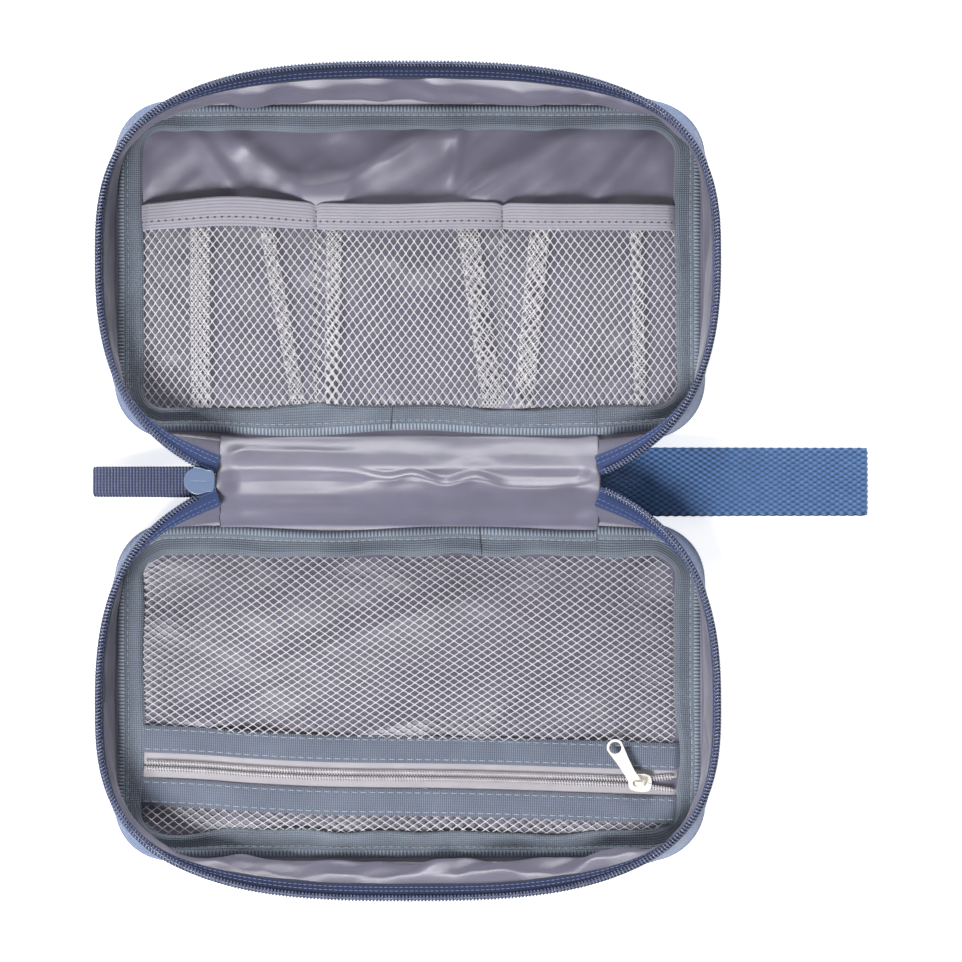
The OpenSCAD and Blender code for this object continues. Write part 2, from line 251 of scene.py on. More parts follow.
def mesh_object(name, verts, faces, uv=None):
    """A mesh from points in millimetres; uv is one pair for each point, in millimetres."""
    verts = np.asarray(verts, float).reshape(-1, 3) * MM
    faces = np.asarray(faces, int)
    mesh = bpy.data.meshes.new(name)
    mesh.from_pydata(verts.tolist(), [], faces.tolist())
    mesh.polygons.foreach_set("use_smooth", [True] * len(mesh.polygons))
    if uv is not None:
        layer = mesh.uv_layers.new(name="cloth")
        corner = np.empty(len(mesh.loops), int)
        mesh.loops.foreach_get("vertex_index", corner)
        layer.data.foreach_set("uv", np.asarray(uv, float).reshape(-1, 2)[corner].ravel())
    mesh.validate()
    mesh.update()
    return placed(name, mesh)


def grid_faces(nu, nv, round_u=False, round_v=False):
    i = np.arange(nu if round_u else nu - 1)[:, None]
    j = np.arange(nv if round_v else nv - 1)[None, :]
    i2, j2 = (i + 1) % nu, (j + 1) % nv
    quad = [i * nv + j, i2 * nv + j, i2 * nv + j2, i * nv + j2]
    return np.stack([q + 0 * (i + j) for q in quad], axis=-1).reshape(-1, 4)


def surface(name, points, uv=None, thick=0.0, round_u=False, round_v=False):
    """A cloth surface through a grid of points; thick gives it two faces."""
    nu, nv = points.shape[:2]
    if uv is None:
        u = along(points).mean(axis=1)
        v = along(np.swapaxes(points, 0, 1)).mean(axis=1)
        uv = np.stack(grid(u, v), axis=-1)
    obj = mesh_object(name, points, grid_faces(nu, nv, round_u, round_v), uv)
    if thick:
        solid = obj.modifiers.new("thickness", "SOLIDIFY")
        solid.thickness = thick * MM
        solid.offset = 0
    return obj


def tube_points(path, side_dir, up_dir, radius, sides):
    a = np.linspace(0, 2 * np.pi, sides, endpoint=False)
    return (
        path[:, None, :]
        + side_dir[:, None, :] * (radius * np.cos(a))[None, :, None]
        + up_dir[:, None, :] * (radius * np.sin(a))[None, :, None]
    )


def frames(path):
    """Directions across and over a line that runs mostly level."""
    d = unit(np.gradient(path, axis=0))
    across = unit(np.cross(np.array([0.0, 0, 1]), d))
    return d, across, np.cross(d, across)


def helix(path, pitch, wide, high, wire, per_turn=14, sides=6):
    """A flattened spring wound round a line, as points of a tube."""
    turns = int(along(path[:, None, :])[-1, 0] / pitch)
    s = np.linspace(0, turns * pitch, turns * per_turn + 1)
    centre = at_length(path, s)
    d, across, up = frames(centre)
    a = 2 * np.pi * s / pitch
    # A coil's heads are round and its legs are straight, so the turn is a softened oblong.
    c, h = np.cos(a), np.sin(a)
    c = np.sign(c) * np.abs(c) ** 0.7
    line = centre + across * (wide * c)[:, None] + up * (high * h)[:, None]
    d2 = unit(np.gradient(line, axis=0))
    ref = unit(np.cross(d2, d))
    return tube_points(line, ref, np.cross(d2, ref), wire, sides)


def coil_row(name, centre, *turn):
    """A zip's row of teeth: wire wound round a cord."""
    cord = tube_points(centre, *frames(centre)[1:], 0.3, 6)
    return tubes(name, [helix(centre, *turn), cord])


def tubes(name, rings):
    """One object from several tubes, each a grid of points closed round its second axis."""
    verts, faces, start = [], [], 0
    for p in rings:
        verts.append(p.reshape(-1, 3))
        faces.append(grid_faces(p.shape[0], p.shape[1], round_v=True) + start)
        start += p.shape[0] * p.shape[1]
    return mesh_object(name, np.vstack(verts), np.vstack(faces))


def stitches(name, lines, pitch, share=0.72, radius=0.22, sink=0.35, flat=0.7):
    """Rows of sewn thread: each stitch dips at both ends. A line is an array of points."""
    step = np.linspace(0, 1, 6)
    bow = np.sin(np.pi * step)
    r = (radius * (0.45 + 0.55 * bow**0.5))[:, None]
    rings = []
    for path in lines:
        for k in range(int(along(path[:, None, :])[-1, 0] / pitch)):
            p = at_length(path, (k + 0.5 * (1 - share) + share * step) * pitch)
            p[:, 2] += radius * (bow - sink) * 1.2
            _, across, up = frames(p)
            rings.append(tube_points(p, across * r, up * flat * r, 1.0, 6))
    return tubes(name, rings)


def plate(name, loops, low, high, bevel=0.2):
    """A flat part cut to closed outlines, holes included, with rounded edges."""
    curve = bpy.data.curves.new(name, "CURVE")
    curve.dimensions = "2D"
    curve.fill_mode = "BOTH"
    curve.extrude = (high - low) / 2 * MM - bevel * MM
    curve.bevel_depth = bevel * MM
    curve.bevel_resolution = 3
    curve.offset = -bevel * MM
    for loop in loops:
        spline = curve.splines.new("POLY")
        spline.points.add(len(loop) - 1)
        for point, (x, y) in zip(spline.points, loop):
            point.co = (x * MM, y * MM, 0, 1)
        spline.use_cyclic_u = True
    source = placed(name + "_curve", curve)
    ready = source.evaluated_get(bpy.context.evaluated_depsgraph_get())
    mesh = bpy.data.meshes.new_from_object(ready)
    bpy.data.objects.remove(source)
    bpy.data.curves.remove(curve)
    points = np.empty(len(mesh.vertices) * 3)
    mesh.vertices.foreach_get("co", points)
    faces = [list(p.vertices) for p in mesh.polygons]
    bpy.data.meshes.remove(mesh)
    return points.reshape(-1, 3) / MM + [0, 0, (low + high) / 2], faces


def merged(name, parts):
    """One object from several lists of points and faces, with flat sides kept sharp."""
    verts, faces, start = [], [], 0
    for v, f in parts:
        verts.append(np.asarray(v, float).reshape(-1, 3))
        faces += [[int(i) + start for i in q] for q in f]
        start += len(verts[-1])
    mesh = bpy.data.meshes.new(name)
    mesh.from_pydata((np.vstack(verts) * MM).tolist(), [], faces)
    mesh.validate()
    obj = placed(name, mesh)
    mesh.polygons.foreach_set("use_smooth", [True] * len(mesh.polygons))
    mesh.set_sharp_from_angle(angle=math.radians(40))
    return obj


def fit(obj, body, slot, paint, *nodes):
    """Seats a piece: its body, its finish, and the CAD nodes that it stands for."""
    obj.data.materials.clear()
    obj.data.materials.append(paint)
    if body:
        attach(obj, body)
    if nodes:
        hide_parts(*nodes)
    return obj


def cloth(obj):
    """Reads a sheet's uv layer, the flat size that its own grid unrolls to; nothing is done with it."""
    layer = np.empty(len(obj.data.loops) * 2)
    obj.data.uv_layers[0].data.foreach_get("uv", layer)


# ---- materials -----------------------------------------------------------------------------


def linear(r, g, b):
    """An sRGB colour from 0 to 255, as linear light."""
    c = np.array([r, g, b]) / 255
    return tuple(np.where(c <= 0.04045, c / 12.92, ((c + 0.055) / 1.055) ** 2.4)) + (1.0,)


class Paint:
    """A material under construction: sockets are combined with small arithmetic helpers."""

    def __init__(self, name, roughness=0.7, sheen=0.0, specular=0.4, anisotropic=0.0):
        self.material = bpy.data.materials.new(name)
        self.material.use_nodes = True
        self.tree = self.material.node_tree
        self.shader = self.tree.nodes["Principled BSDF"]
        self.set("Roughness", roughness)
        self.set("Sheen Weight", sheen)
        self.set("Specular IOR Level", specular)
        self.set("Anisotropic", anisotropic)
        place = self.tree.nodes.new("ShaderNodeUVMap")
        split = self.tree.nodes.new("ShaderNodeSeparateXYZ")
        self.tree.links.new(place.outputs[0], split.inputs[0])
        self.u, self.v = split.outputs[0], split.outputs[1]

    def socket(self, target, value):
        """Gives a socket another socket's output or a plain value."""
        if isinstance(value, bpy.types.NodeSocket):
            self.tree.links.new(value, target)
        else:
            target.default_value = value

    def set(self, name, value):
        """Sets one of the shader's own inputs."""
        self.socket(self.shader.inputs[name], value)
        return self

    def math(self, operation, a, b=0.0, c=0.0):
        node = self.tree.nodes.new("ShaderNodeMath")
        node.operation = operation
        for target, value in zip(node.inputs, (a, b, c)):
            self.socket(target, value)
        return node.outputs[0]

    def sum(self, a, share_a, b, share_b):
        """Two heights or tones added, each with its share."""
        return self.math("MULTIPLY_ADD", a, share_a, self.math("MULTIPLY", b, share_b))

    def wave(self, position, pitch):
        """From 0 to 1 and back once in each pitch."""
        turn = self.math("MULTIPLY_ADD", position, 2 * math.pi / pitch, 0.0)
        return self.math("MULTIPLY_ADD", self.math("SINE", turn), 0.5, 0.5)

    def noise(self, scale, detail=2.0):
        node = self.tree.nodes.new("ShaderNodeTexNoise")
        node.inputs["Scale"].default_value = scale
        node.inputs["Detail"].default_value = detail
        where = self.tree.nodes.new("ShaderNodeTexCoord")
        self.tree.links.new(where.outputs["Object"], node.inputs["Vector"])
        return node.outputs[0]

    def plain_weave(self, warp, weft):
        """Threads that pass over and under each other in turn, as a height from 0 to 1."""
        a, b = self.wave(self.u, warp), self.wave(self.v, weft)
        column = self.math("FLOOR", self.math("DIVIDE", self.u, warp))
        row = self.math("FLOOR", self.math("DIVIDE", self.v, weft))
        over = self.math("PINGPONG", self.math("ADD", column, row), 1.0)
        return self.math("ADD", self.math("MULTIPLY", a, over),
                         self.math("MULTIPLY", b, self.math("SUBTRACT", 1.0, over)))

    def blend(self, factor, low, high):
        node = self.tree.nodes.new("ShaderNodeMix")
        node.data_type = "RGBA"
        for k, value in ((0, factor), (6, low), (7, high)):
            self.socket(node.inputs[k], value)
        return node.outputs[2]

    def colour(self, value):
        return self.set("Base Color", value)

    def bump(self, height, depth_mm, strength=1.0):
        node = self.tree.nodes.new("ShaderNodeBump")
        node.inputs["Strength"].default_value = strength
        node.inputs["Distance"].default_value = depth_mm * MM
        self.tree.links.new(height, node.inputs["Height"])
        return self.set("Normal", node.outputs[0])

    def finished(self, tone, dark, light, height, depth_mm):
        """The material, with two colours mixed by tone and a relief."""
        return self.colour(self.blend(tone, dark, light)).bump(height, depth_mm).material


def outer_cloth():
    p = Paint("outer_oxford", roughness=0.75, sheen=0.25, specular=0.3)
    weave = p.plain_weave(0.7, 0.7)
    mottle = p.noise(90, 4)
    tone = p.sum(weave, 0.6, mottle, 0.5)
    return p.finished(tone, linear(46, 64, 100), linear(92, 114, 156), weave, 0.12)


def satin_lining():
    p = Paint("satin_lining", roughness=0.36, sheen=0.2, specular=1.0, anisotropic=0.35)
    slant = p.math("ADD", p.u, p.v)
    twill = p.wave(slant, 0.55)
    thread = p.wave(p.v, 0.42)
    height = p.sum(twill, 0.65, thread, 0.35)
    tone = p.sum(height, 0.4, p.noise(60, 3), 0.6)
    p.colour(p.blend(tone, linear(76, 74, 90), linear(120, 117, 138)))
    p.set("Roughness", p.math("MULTIPLY_ADD", p.noise(35, 2), 0.16, 0.34))
    return p.bump(height, 0.05, 0.8).material


def ribbed_tape(name, dark, light, rib, cross, sheen=0.25):
    """Grosgrain: ribs across the tape, with the fine warp that binds them."""
    p = Paint(name, roughness=0.62, sheen=sheen, specular=0.4)
    ribs = p.wave(p.u, rib)
    warp = p.wave(p.v, cross)
    height = p.math("MULTIPLY", ribs, p.math("MULTIPLY_ADD", warp, 0.55, 0.45))
    tone = p.sum(height, 0.75, p.noise(70, 4), 0.35)
    return p.finished(tone, dark, light, height, 0.22)


def binding_tape():
    """Folded binding: coarse ribs on its outer slope, fine weave, and beads along its roll."""
    p = Paint("binding_tape", roughness=0.6, sheen=0.3, specular=0.4)
    coarse = p.math("POWER", p.wave(p.u, 1.35), 0.7)
    beads = p.math("MULTIPLY", p.wave(p.u, 0.72), p.wave(p.v, 0.85))
    slope = p.math("LESS_THAN", p.v, 3.6)
    height = p.math("ADD", p.math("MULTIPLY", coarse, slope),
                    p.math("MULTIPLY", beads, p.math("SUBTRACT", 1.0, slope)))
    tone = p.sum(height, 0.7, p.noise(60, 4), 0.4)
    return p.finished(tone, linear(50, 57, 70), linear(156, 168, 184), height, 0.3)


def elastic_band():
    p = Paint("ribbed_elastic", roughness=0.6, sheen=0.3, specular=0.4)
    lines = p.math("POWER", p.wave(p.v, 1.15), 0.5)
    knit = p.wave(p.math("MULTIPLY_ADD", p.v, 0.6, p.u), 0.62)
    height = p.sum(knit, 0.45, lines, 0.55)
    tone = p.sum(height, 0.8, p.noise(80, 3), 0.2)
    return p.finished(tone, linear(104, 101, 113), linear(176, 173, 185), height, 0.16)


def strap_cloth(name, dark, light, pitch_u, pitch_v, depth, ribbed=0.0):
    """Heavy strap: staggered knobs of thick yarn, or ribs across it where ribbed is 1."""
    p = Paint(name, roughness=0.66, sheen=0.3, specular=0.35)
    a = p.math("SINE", p.math("MULTIPLY", p.u, 2 * math.pi / pitch_u))
    b = p.math("SINE", p.math("MULTIPLY", p.v, 2 * math.pi / pitch_v))
    knob = p.math("MULTIPLY_ADD", p.math("MULTIPLY", a, b), 0.5, 0.5)
    rib = p.math("MULTIPLY", p.math("MULTIPLY_ADD", a, 0.5, 0.5), p.math("MULTIPLY_ADD", b, 0.3, 0.7))
    shape = p.math("ADD", p.math("MULTIPLY", knob, 1 - ribbed), p.math("MULTIPLY", rib, ribbed))
    fibre = p.wave(p.math("MULTIPLY_ADD", p.v, 0.8, p.u), 0.32)
    height = p.math("MULTIPLY_ADD", fibre, 0.16, shape)
    tone = p.sum(shape, 0.8, p.noise(120, 4), 0.3)
    return p.finished(tone, dark, light, height, depth)


def yarn(name, colour, roughness=0.55, sheen=0.3, spread=0.2):
    p = Paint(name, roughness=roughness, sheen=sheen, specular=0.45)
    dark = tuple(c * (1 - spread) for c in colour[:3]) + (1.0,)
    fuzz = p.noise(900, 3)
    return p.finished(p.noise(140, 3), dark, colour, fuzz, 0.05)


def coil_plastic(name, colour, light):
    p = Paint(name, roughness=0.28, specular=0.6)
    p.set("Coat Weight", 0.25)
    p.colour(p.blend(p.noise(300, 2), colour, light))
    return p.bump(p.noise(1500, 2), 0.03).material


def enamel(name, colour, worn, roughness=0.3):
    """Painted die casting, a little brighter where it is rubbed."""
    p = Paint(name, roughness=roughness, specular=0.6)
    p.set("Coat Weight", 0.35).set("Coat Roughness", 0.15)
    edge = p.tree.nodes.new("ShaderNodeNewGeometry").outputs["Pointiness"]
    rubbed = p.math("MULTIPLY_ADD", edge, 8.0, -3.9)
    rubbed.node.use_clamp = True
    p.colour(p.blend(rubbed, colour, worn))
    return p.bump(p.noise(700, 3), 0.04, 0.6).material


def zip_tape_cloth(name, dark, light, painted_light_colour=None):
    """Herringbone tape. Its last colour is painted light: a lighter colour painted on the tape near the
    spine, where it lies open to the light.
    """
    p = Paint(name, roughness=0.66, sheen=0.3, specular=0.35)
    rib = p.wave(p.math("ADD", p.u, p.math("PINGPONG", p.v, 0.9)), 0.5)
    tone = p.sum(rib, 0.6, p.noise(110, 3), 0.4)
    colour = p.blend(tone, dark, light)
    if painted_light_colour:
        # Painted light: the tape is painted fully lighter within 15 mm of the spine, fading back to its
        # own colour by 40 mm.
        where = p.tree.nodes.new("ShaderNodeTexCoord")
        split = p.tree.nodes.new("ShaderNodeSeparateXYZ")
        p.tree.links.new(where.outputs["Object"], split.inputs[0])
        away = p.math("ABSOLUTE", split.outputs[1])
        near = p.math("MULTIPLY_ADD", away, -1 / 0.025, 1.6)
        near.node.use_clamp = True
        colour = p.blend(near, colour, p.blend(tone, light, painted_light_colour))
    return p.colour(colour).bump(rib, 0.09).material


def foam():
    p = Paint("open_cell_foam", roughness=0.95, specular=0.2)
    cells = p.noise(1400, 2)
    return p.finished(cells, linear(200, 200, 196), linear(240, 240, 236), cells, 0.2)


OUTER = outer_cloth()
LINING = satin_lining()
BINDING = binding_tape()
BAND = ribbed_tape("grosgrain_band", linear(58, 65, 82), linear(130, 139, 158), 0.8, 1.0)
TAPE = zip_tape_cloth("navy_zip_tape", linear(12, 18, 42), linear(32, 46, 84), linear(42, 66, 116))
COIL = coil_plastic("navy_coil", linear(56, 64, 92), linear(112, 120, 148))
NET = yarn("net_yarn", linear(208, 206, 209), roughness=0.45, sheen=0.4, spread=0.18)
ELASTIC = elastic_band()
PALE_TAPE = zip_tape_cloth("silver_zip_tape", linear(146, 142, 150), linear(206, 202, 208))
PALE_COIL = coil_plastic("silver_coil", linear(168, 164, 170), linear(212, 208, 212))
WEBBING = strap_cloth("blue_webbing", linear(24, 44, 80), linear(84, 126, 182), 3.4, 2.1, 0.5)
RIBBON = strap_cloth("navy_ribbon", linear(14, 20, 48), linear(76, 88, 132), 1.42, 1.1, 0.35, 1.0)
IVORY = enamel("ivory_enamel", linear(222, 217, 206), linear(246, 243, 238))
STEEL_BLUE = enamel("steel_blue_enamel", linear(76, 94, 126), linear(128, 146, 176), 0.4)
SLATE_THREAD = yarn("slate_thread", linear(150, 162, 172))
BLUE_THREAD = yarn("blue_thread", linear(112, 128, 188))
DARK_THREAD = yarn("dark_thread", linear(58, 56, 66))
FOAM = foam()

# ---- trays ---------------------------------------------------------------------------------

EDGE_IN = 2.8
BINDING_W = 8.7
JOIN_X = {"upper": -7.0, "lower": 27.0}
SEAM_SOFT = 5.0      # stations over which the wall flattens towards the spine seams


def from_seam(t):
    """Stations to the nearer of the two spine seams."""
    return np.minimum(t, LAST - t)


def wall_length(side, t):
    """Running length along the wall's middle height at stations t."""
    return along(wall(side, t[:, None], np.array([[0.5]]), 0.0))[:, 0]


def near_seam(t):
    """1 at the two spine seams, 0 a few stations away."""
    return 1 - smooth(from_seam(t), 0.5, SEAM_SOFT + 3)


def outer_shell(side):
    """Base panel with a rolled edge, and the wall round it up to the zip tape."""
    line, _ = base_ring(320, 100)
    shares = np.concatenate([[0.0005], np.linspace(0.15, 0.9, 7), [0.94, 0.97, 0.985, 0.995]])
    middle = np.array([0, (BASE_NEAR + BASE_FAR) / 2])
    ring = [middle + (line - middle) * s for s in shares]
    ring = np.stack(ring, axis=1)
    roll = np.maximum(shares - 0.97, 0) / 0.025
    z = 0.12 + 0.75 * roll**2
    z = z[None, :] + 0 * ring[..., 0]
    p = world(side, ring[..., 0], ring[..., 1], z)
    panel = surface(f"{side}_base_panel", p, uv=ring, round_u=True)
    fit(panel, BODY[side], "outer_fabric", OUTER, f"{side}_outer_panel")
    t = np.linspace(0, LAST, 320)
    f = np.linspace(0.03, 0.93, 20)
    grid_t, grid_f = grid(t, f)
    length = wall_length(side, t)
    arc_mm = np.repeat(length[:, None], len(f), axis=1)
    soft = np.sin(np.pi * grid_f)
    belly = -0.5 * soft + 0.7 * soft * rumple(arc_mm, grid_f * 26, 11, 16, 1.0)
    roll = 0.5 * bell(grid_f, 0.06, 0.05)
    gusset = surface(f"{side}_outer_wall", wall(side, grid_t, grid_f, belly - roll + 0.35), thick=0.6)
    fit(gusset, BODY[side], "outer_fabric", OUTER, f"{side}_outer_gusset")
    cloth(gusset)
    cloth(panel)


ELASTIC_Y = box_mm("net_pocket_elastic")[0][1]
NET_BELLY = 4.0     # how far the zip pocket's net stands up in its middle


def belly_of(x, y):
    """Share of the zip pocket net's slack height at a place on the lower tray's floor."""
    across = 1 - smooth(np.abs(x), 60, 98)
    return across * smooth(y, BASE_NEAR + 12, BASE_NEAR + 40) * (1 - smooth(y, 84, 104))


def crest(x, y, x0, y0, angle, width, length):
    """A soft crease: 1 on its line through (x0, y0), fading to its sides and its ends."""
    a = math.radians(angle)
    u = (x - x0) * math.cos(a) + (y - y0) * math.sin(a)
    v = -(x - x0) * math.sin(a) + (y - y0) * math.cos(a)
    v = v + 0.0009 * length * np.sin(u / length * 4) * width
    return bell(v, 0, width) * (1 - smooth(np.abs(u), 0.45 * length, length))


# Creases of the floor linings: place, angle, width, length and height.
UPPER_CREASES = (
    (-50, 118, -36, 5, 34, 1.9),
    (-74, 122, -55, 4, 26, 1.2),
    (-14, 120, 34, 6, 38, 2.1),
    (44, 120, 36, 6, 40, 2.3),
    (80, 118, 48, 5, 28, 1.9),
    (18, 126, 80, 3, 18, 1.0),
)
LOWER_CREASES = (
    (-60, 84, -24, 6, 60, 1.5),
    (10, 88, -30, 7, 55, 1.6),
    (55, 70, -38, 6, 50, 1.4),
    (-20, 58, -20, 5, 60, 1.3),
)


def creased(height, x, y, creases):
    """A height with its creases added."""
    for *line, high in creases:
        height = height + high * crest(x, y, *line)
    return height


def floor_folds(side, x, y):
    """Height of the lining's folds over a tray's floor."""
    if side == "upper":
        sweep = 1.1 * rumple(x, y, 5, 13, 3.0, 32) * smooth(x, -40, 30)
        sweep = sweep + 1.1 * rumple(x, y, 8, 13, 2.8, -38) * (1 - smooth(x, -40, 30))
        sweep = creased(sweep, x, y, UPPER_CREASES)
        height = 1.4 + 1.55 * sweep + 0.5 * rumple(x, y, 21, 6, 2.2, 40)
        # Behind the pockets the lining lies flatter.
        roof = 1.2 + 3.8 * smooth(y, ELASTIC_Y, ELASTIC_Y + 14)
        return np.maximum(np.minimum(height, roof), 0.0)
    sweep = 0.9 * rumple(x, y, 9, 15, 3.0, -30)
    sweep = creased(sweep, x, y, LOWER_CREASES)
    roof = 1.9 + NET_BELLY * belly_of(x, y)
    return np.maximum(np.minimum(1.0 + 1.9 * sweep + 0.4 * rumple(x, y, 33, 8, 2.0, 20), roof), 0.0)


def foam_board(side):
    """The board of foam between the base panel and the lining, with softened edges."""
    low, high = box_mm(f"{side}_foam_pad")
    line, n = base_ring(240, 70)
    edge = line + n * 1.6
    edge = world(side, edge[:, 0], edge[:, 1], 0 * edge[:, 0])[:, :2]
    board = merged(f"{side}_foam_board", [plate("board", [edge], low[2] + 0.3, high[2] - 0.1, 0.8)])
    fit(board, BODY[side], "foam", FOAM, f"{side}_foam_pad")


def floor_lining(side):
    """The lining panel, laid over the foam and rumpled between the bindings."""
    inset = EDGE_IN + 1.0
    x = np.linspace(-BASE_W + inset, BASE_W - inset, 260)
    y = np.linspace(BASE_NEAR + inset, BASE_FAR - inset, 150)
    gx, gy = grid(x, y)
    # Squeezes the corners of the rectangle round to the panel's corner radius.
    r = BASE_R - inset
    cx, cy = BASE_W - inset - r, (BASE_FAR - BASE_NEAR) / 2 - inset - r
    mid = (BASE_NEAR + BASE_FAR) / 2
    ux = np.maximum(np.abs(gx) - cx, 0) / r
    uy = np.maximum(np.abs(gy - mid) - cy, 0) / r
    kx, ky = np.sqrt(1 - uy**2 / 2), np.sqrt(1 - ux**2 / 2)
    px = np.sign(gx) * (np.minimum(np.abs(gx), cx) + ux * kx * r)
    py = mid + np.sign(gy - mid) * (np.minimum(np.abs(gy - mid), cy) + uy * ky * r)
    edge = np.minimum(BASE_W - inset - np.abs(gx), (BASE_FAR - BASE_NEAR) / 2 - inset - np.abs(gy - mid))
    fade = smooth(edge, 0, 12)
    z = LINING_Z + 0.15 + floor_folds(side, px, py) * fade
    lining = surface(f"{side}_floor_lining", world(side, px, py, z), uv=np.stack([gx, gy], -1), thick=0.2)
    fit(lining, BODY[side], "lining", LINING, f"{side}_lining_panel")
    cloth(lining)


FOOT_SHARE, TOP_SHARE = 0.165, 0.9     # the wall lining's two edges, as shares of the wall's height


def wall_lining(side):
    """The wall's lining, from under the binding to the zip tape, with slack that falls in folds."""
    seed = 40 + SIDES[side]
    t = np.linspace(0, LAST, 640)
    f = np.linspace(FOOT_SHARE, TOP_SHARE, 40)
    gt, gf = grid(t, f)
    length = wall_length(side, t)
    s = np.repeat(length[:, None], len(f), axis=1)
    h = gf * RIM_H
    top = TOP_SHARE - 0.16 * near_seam(gt)
    gf = FOOT_SHARE + (gf - FOOT_SHARE) * (top - FOOT_SHARE) / (TOP_SHARE - FOOT_SHARE)
    slack = smooth(gf, 0.2, 0.42) * (1 - smooth(gf, 0.74, TOP_SHARE))
    folds = 1.5 * rumple(s, h, seed, 12, 1.0, 0) + 1.1 * rumple(s, h * 1.7, seed + 7, 8, 1.8, 40)
    folds = folds + 0.9 * np.abs(rumple(s, h, seed + 9, 17, 1.5, -35))
    far = smooth(from_seam(gt), 17, 24)
    seam = near_seam(gt)
    # On the far side the lining sags well into the tray; at the sides it stands steeply.
    depth = 1.7 + slack * (0.6 + 2.6 * far + folds * (0.5 + 0.65 * far)) * (1 - 0.5 * seam)
    foot = 1 - smooth(gf, FOOT_SHARE, 0.24)
    depth = np.maximum(depth, 1.35) + 3.2 * foot
    lining = surface(f"{side}_wall_lining", wall(side, gt, gf, depth), thick=0.2)
    fit(lining, BODY[side], "lining", LINING, f"{side}_lining_gusset")
    cloth(lining)


def binding(side):
    """Ribbed tape folded over the base seam: outer slope, stitched channel, rolled inner edge."""
    line, n = base_ring(620, 190)
    closed = np.vstack([line, line[:1]])
    length = along(closed[:, None, :])[:-1, 0]
    wander = 1.3 * wavy(length, 3 + SIDES[side], 95) + 0.6 * wavy(length, 13 + SIDES[side], 34)
    wander = wander[:, None]
    q = np.array([0, 0.04, 0.12, 0.26, 0.35, 0.4, 0.45, 0.55, 0.66, 0.78, 0.88, 0.95, 1.0, 0.99, 0.93])
    rise = np.array([0.9, 1.9, 2.7, 3.0, 2.7, 2.2, 2.3, 2.5, 2.7, 3.1, 3.0, 2.4, 1.5, 0.7, 0.3])
    d = EDGE_IN - 1.0 + q[None, :] * (BINDING_W + 1.0) + wander * q[None, :] ** 1.5
    by_spine = smooth(20 - (line[:, 1] - BASE_NEAR), 18, 20)[:, None]
    d = d - by_spine * (0.5 + 1.3 * wavy(length, 5 + SIDES[side], 70))[:, None] * (1 - q[None, :])
    swell = 0.7 * wavy(length, 71 + SIDES[side], 48)[:, None] * np.sin(np.pi * np.clip(q, 0, 1))[None, :]
    p = line[:, None, :] + n[:, None, :] * d[..., None]
    z = LINING_Z + rise[None, :] + swell
    v = along(np.column_stack([q * 10, rise])[:, None, :])[:, 0]
    uv = np.stack(grid(length, v), axis=-1)
    tape = surface(
        f"{side}_binding_tape", world(side, p[..., 0], p[..., 1], z), uv=uv, round_u=True, thick=0.35
    )
    fit(tape, BODY[side], "binding", BINDING, f"{side}_binding")
    k = 5
    row = line + n * d[:, k][:, None]
    row = world(side, row[:, 0], row[:, 1], z[:, k] + 0.2)
    sewn = stitches(f"{side}_binding_stitches", [row], 2.9, 0.8, 0.2)
    fit(sewn, BODY[side], "binding", SLATE_THREAD)
    # Where the tape's two ends overlap there is a short seam across it.
    at = np.argmin(np.abs(line[620:, 0] - JOIN_X[side])) + 620
    seam = world(side, p[at, 1:, 0] + 0.9 * q[1:], p[at, 1:, 1], z[at, 1:] + 0.25)
    over = tube_points(seam, X_AXIS, Z_AXIS, 0.28, 6)
    fit(tubes(f"{side}_binding_join", [over]), BODY[side], "binding", DARK_THREAD)


COIL_STOP = 1.0


def coil_place(t):
    """Depth of the coil's middle inside the rim: it leans out at the far side and the seams."""
    far = smooth(from_seam(t), 19, 26)
    return 1.0 - 1.1 * far - 1.0 * near_seam(t)


def tape_section(t, k):
    """Height share and depth across the zip tape; k runs from its sewn edge to its folded edge."""
    flat = near_seam(t)
    far = smooth(from_seam(t), 19, 26)
    inner = 2.2 + 3.0 * flat + 1.3 * far
    k = np.asarray(k, float)
    hidden = 1 - smooth(k, 0.0, 0.45)
    f = np.interp(k, [0, 0.45, 0.75, 1], [0.5, 0.88, 0.93, 0.915])
    outer = coil_place(t) - 1.3
    d = np.interp(k, [0.45, 1], [0, 1])
    d = inner + (outer - inner) * d
    return f, d * (1 - hidden) + hidden * 1.0


def main_zip(side):
    t = np.linspace(0, LAST, 620)
    k = np.concatenate([np.linspace(0, 0.45, 6), np.linspace(0.5, 1, 8)])
    gt, gk = grid(t, k)
    f, d = tape_section(gt, gk)
    body = BODY[side]
    tape = surface(f"{side}_woven_tape", wall(side, gt, f, d), thick=0.35)
    fit(tape, body, "zip_tape", TAPE, f"{side}_zip_tape")
    cloth(tape)
    rows = []
    for share in (0.5, 0.62):
        f, d = tape_section(t, share)
        rows.append(wall(side, t, f, d, 0.3))
    fit(stitches(f"{side}_tape_stitches", rows, 1.9, radius=0.12), body, "zip_tape", BLUE_THREAD)
    ct = np.linspace(0.3, LAST - COIL_STOP, 1500)
    centre = wall(side, ct, 0.962, coil_place(ct))
    coil = coil_row(f"{side}_coil", centre, 1.3, 1.0, 0.5, 0.3)
    fit(coil, body, "zip_coil", COIL, f"{side}_zip_coil")


# The main crease of the spine's lining: where it runs, from the slider's end to the handle's.
CREASE_X = (-74, -56, -20, -8, 2, 14, 25, 36, 50, 74)
CREASE_Y = (5.5, 5.2, 4.2, 0.6, 3.2, -2.2, 2.0, -2.4, -3.0, -1.0)


def slope_line(y, d):
    """Height of the spine's walls, d mm inside their outer face, at distance y from the fold."""
    return RIM_H * (BASE_NEAR + d - np.abs(y)) / (BASE_NEAR - 0.7)


def soft_min(a, b, r):
    return 0.5 * (a + b - np.sqrt((a - b) ** 2 + r**2))


def spine_cloth(y):
    """Height of the outer cloth that bends over the spine."""
    return np.maximum(soft_min(slope_line(y, 0), 19.0 + 0 * y, 1.5), 0.8)


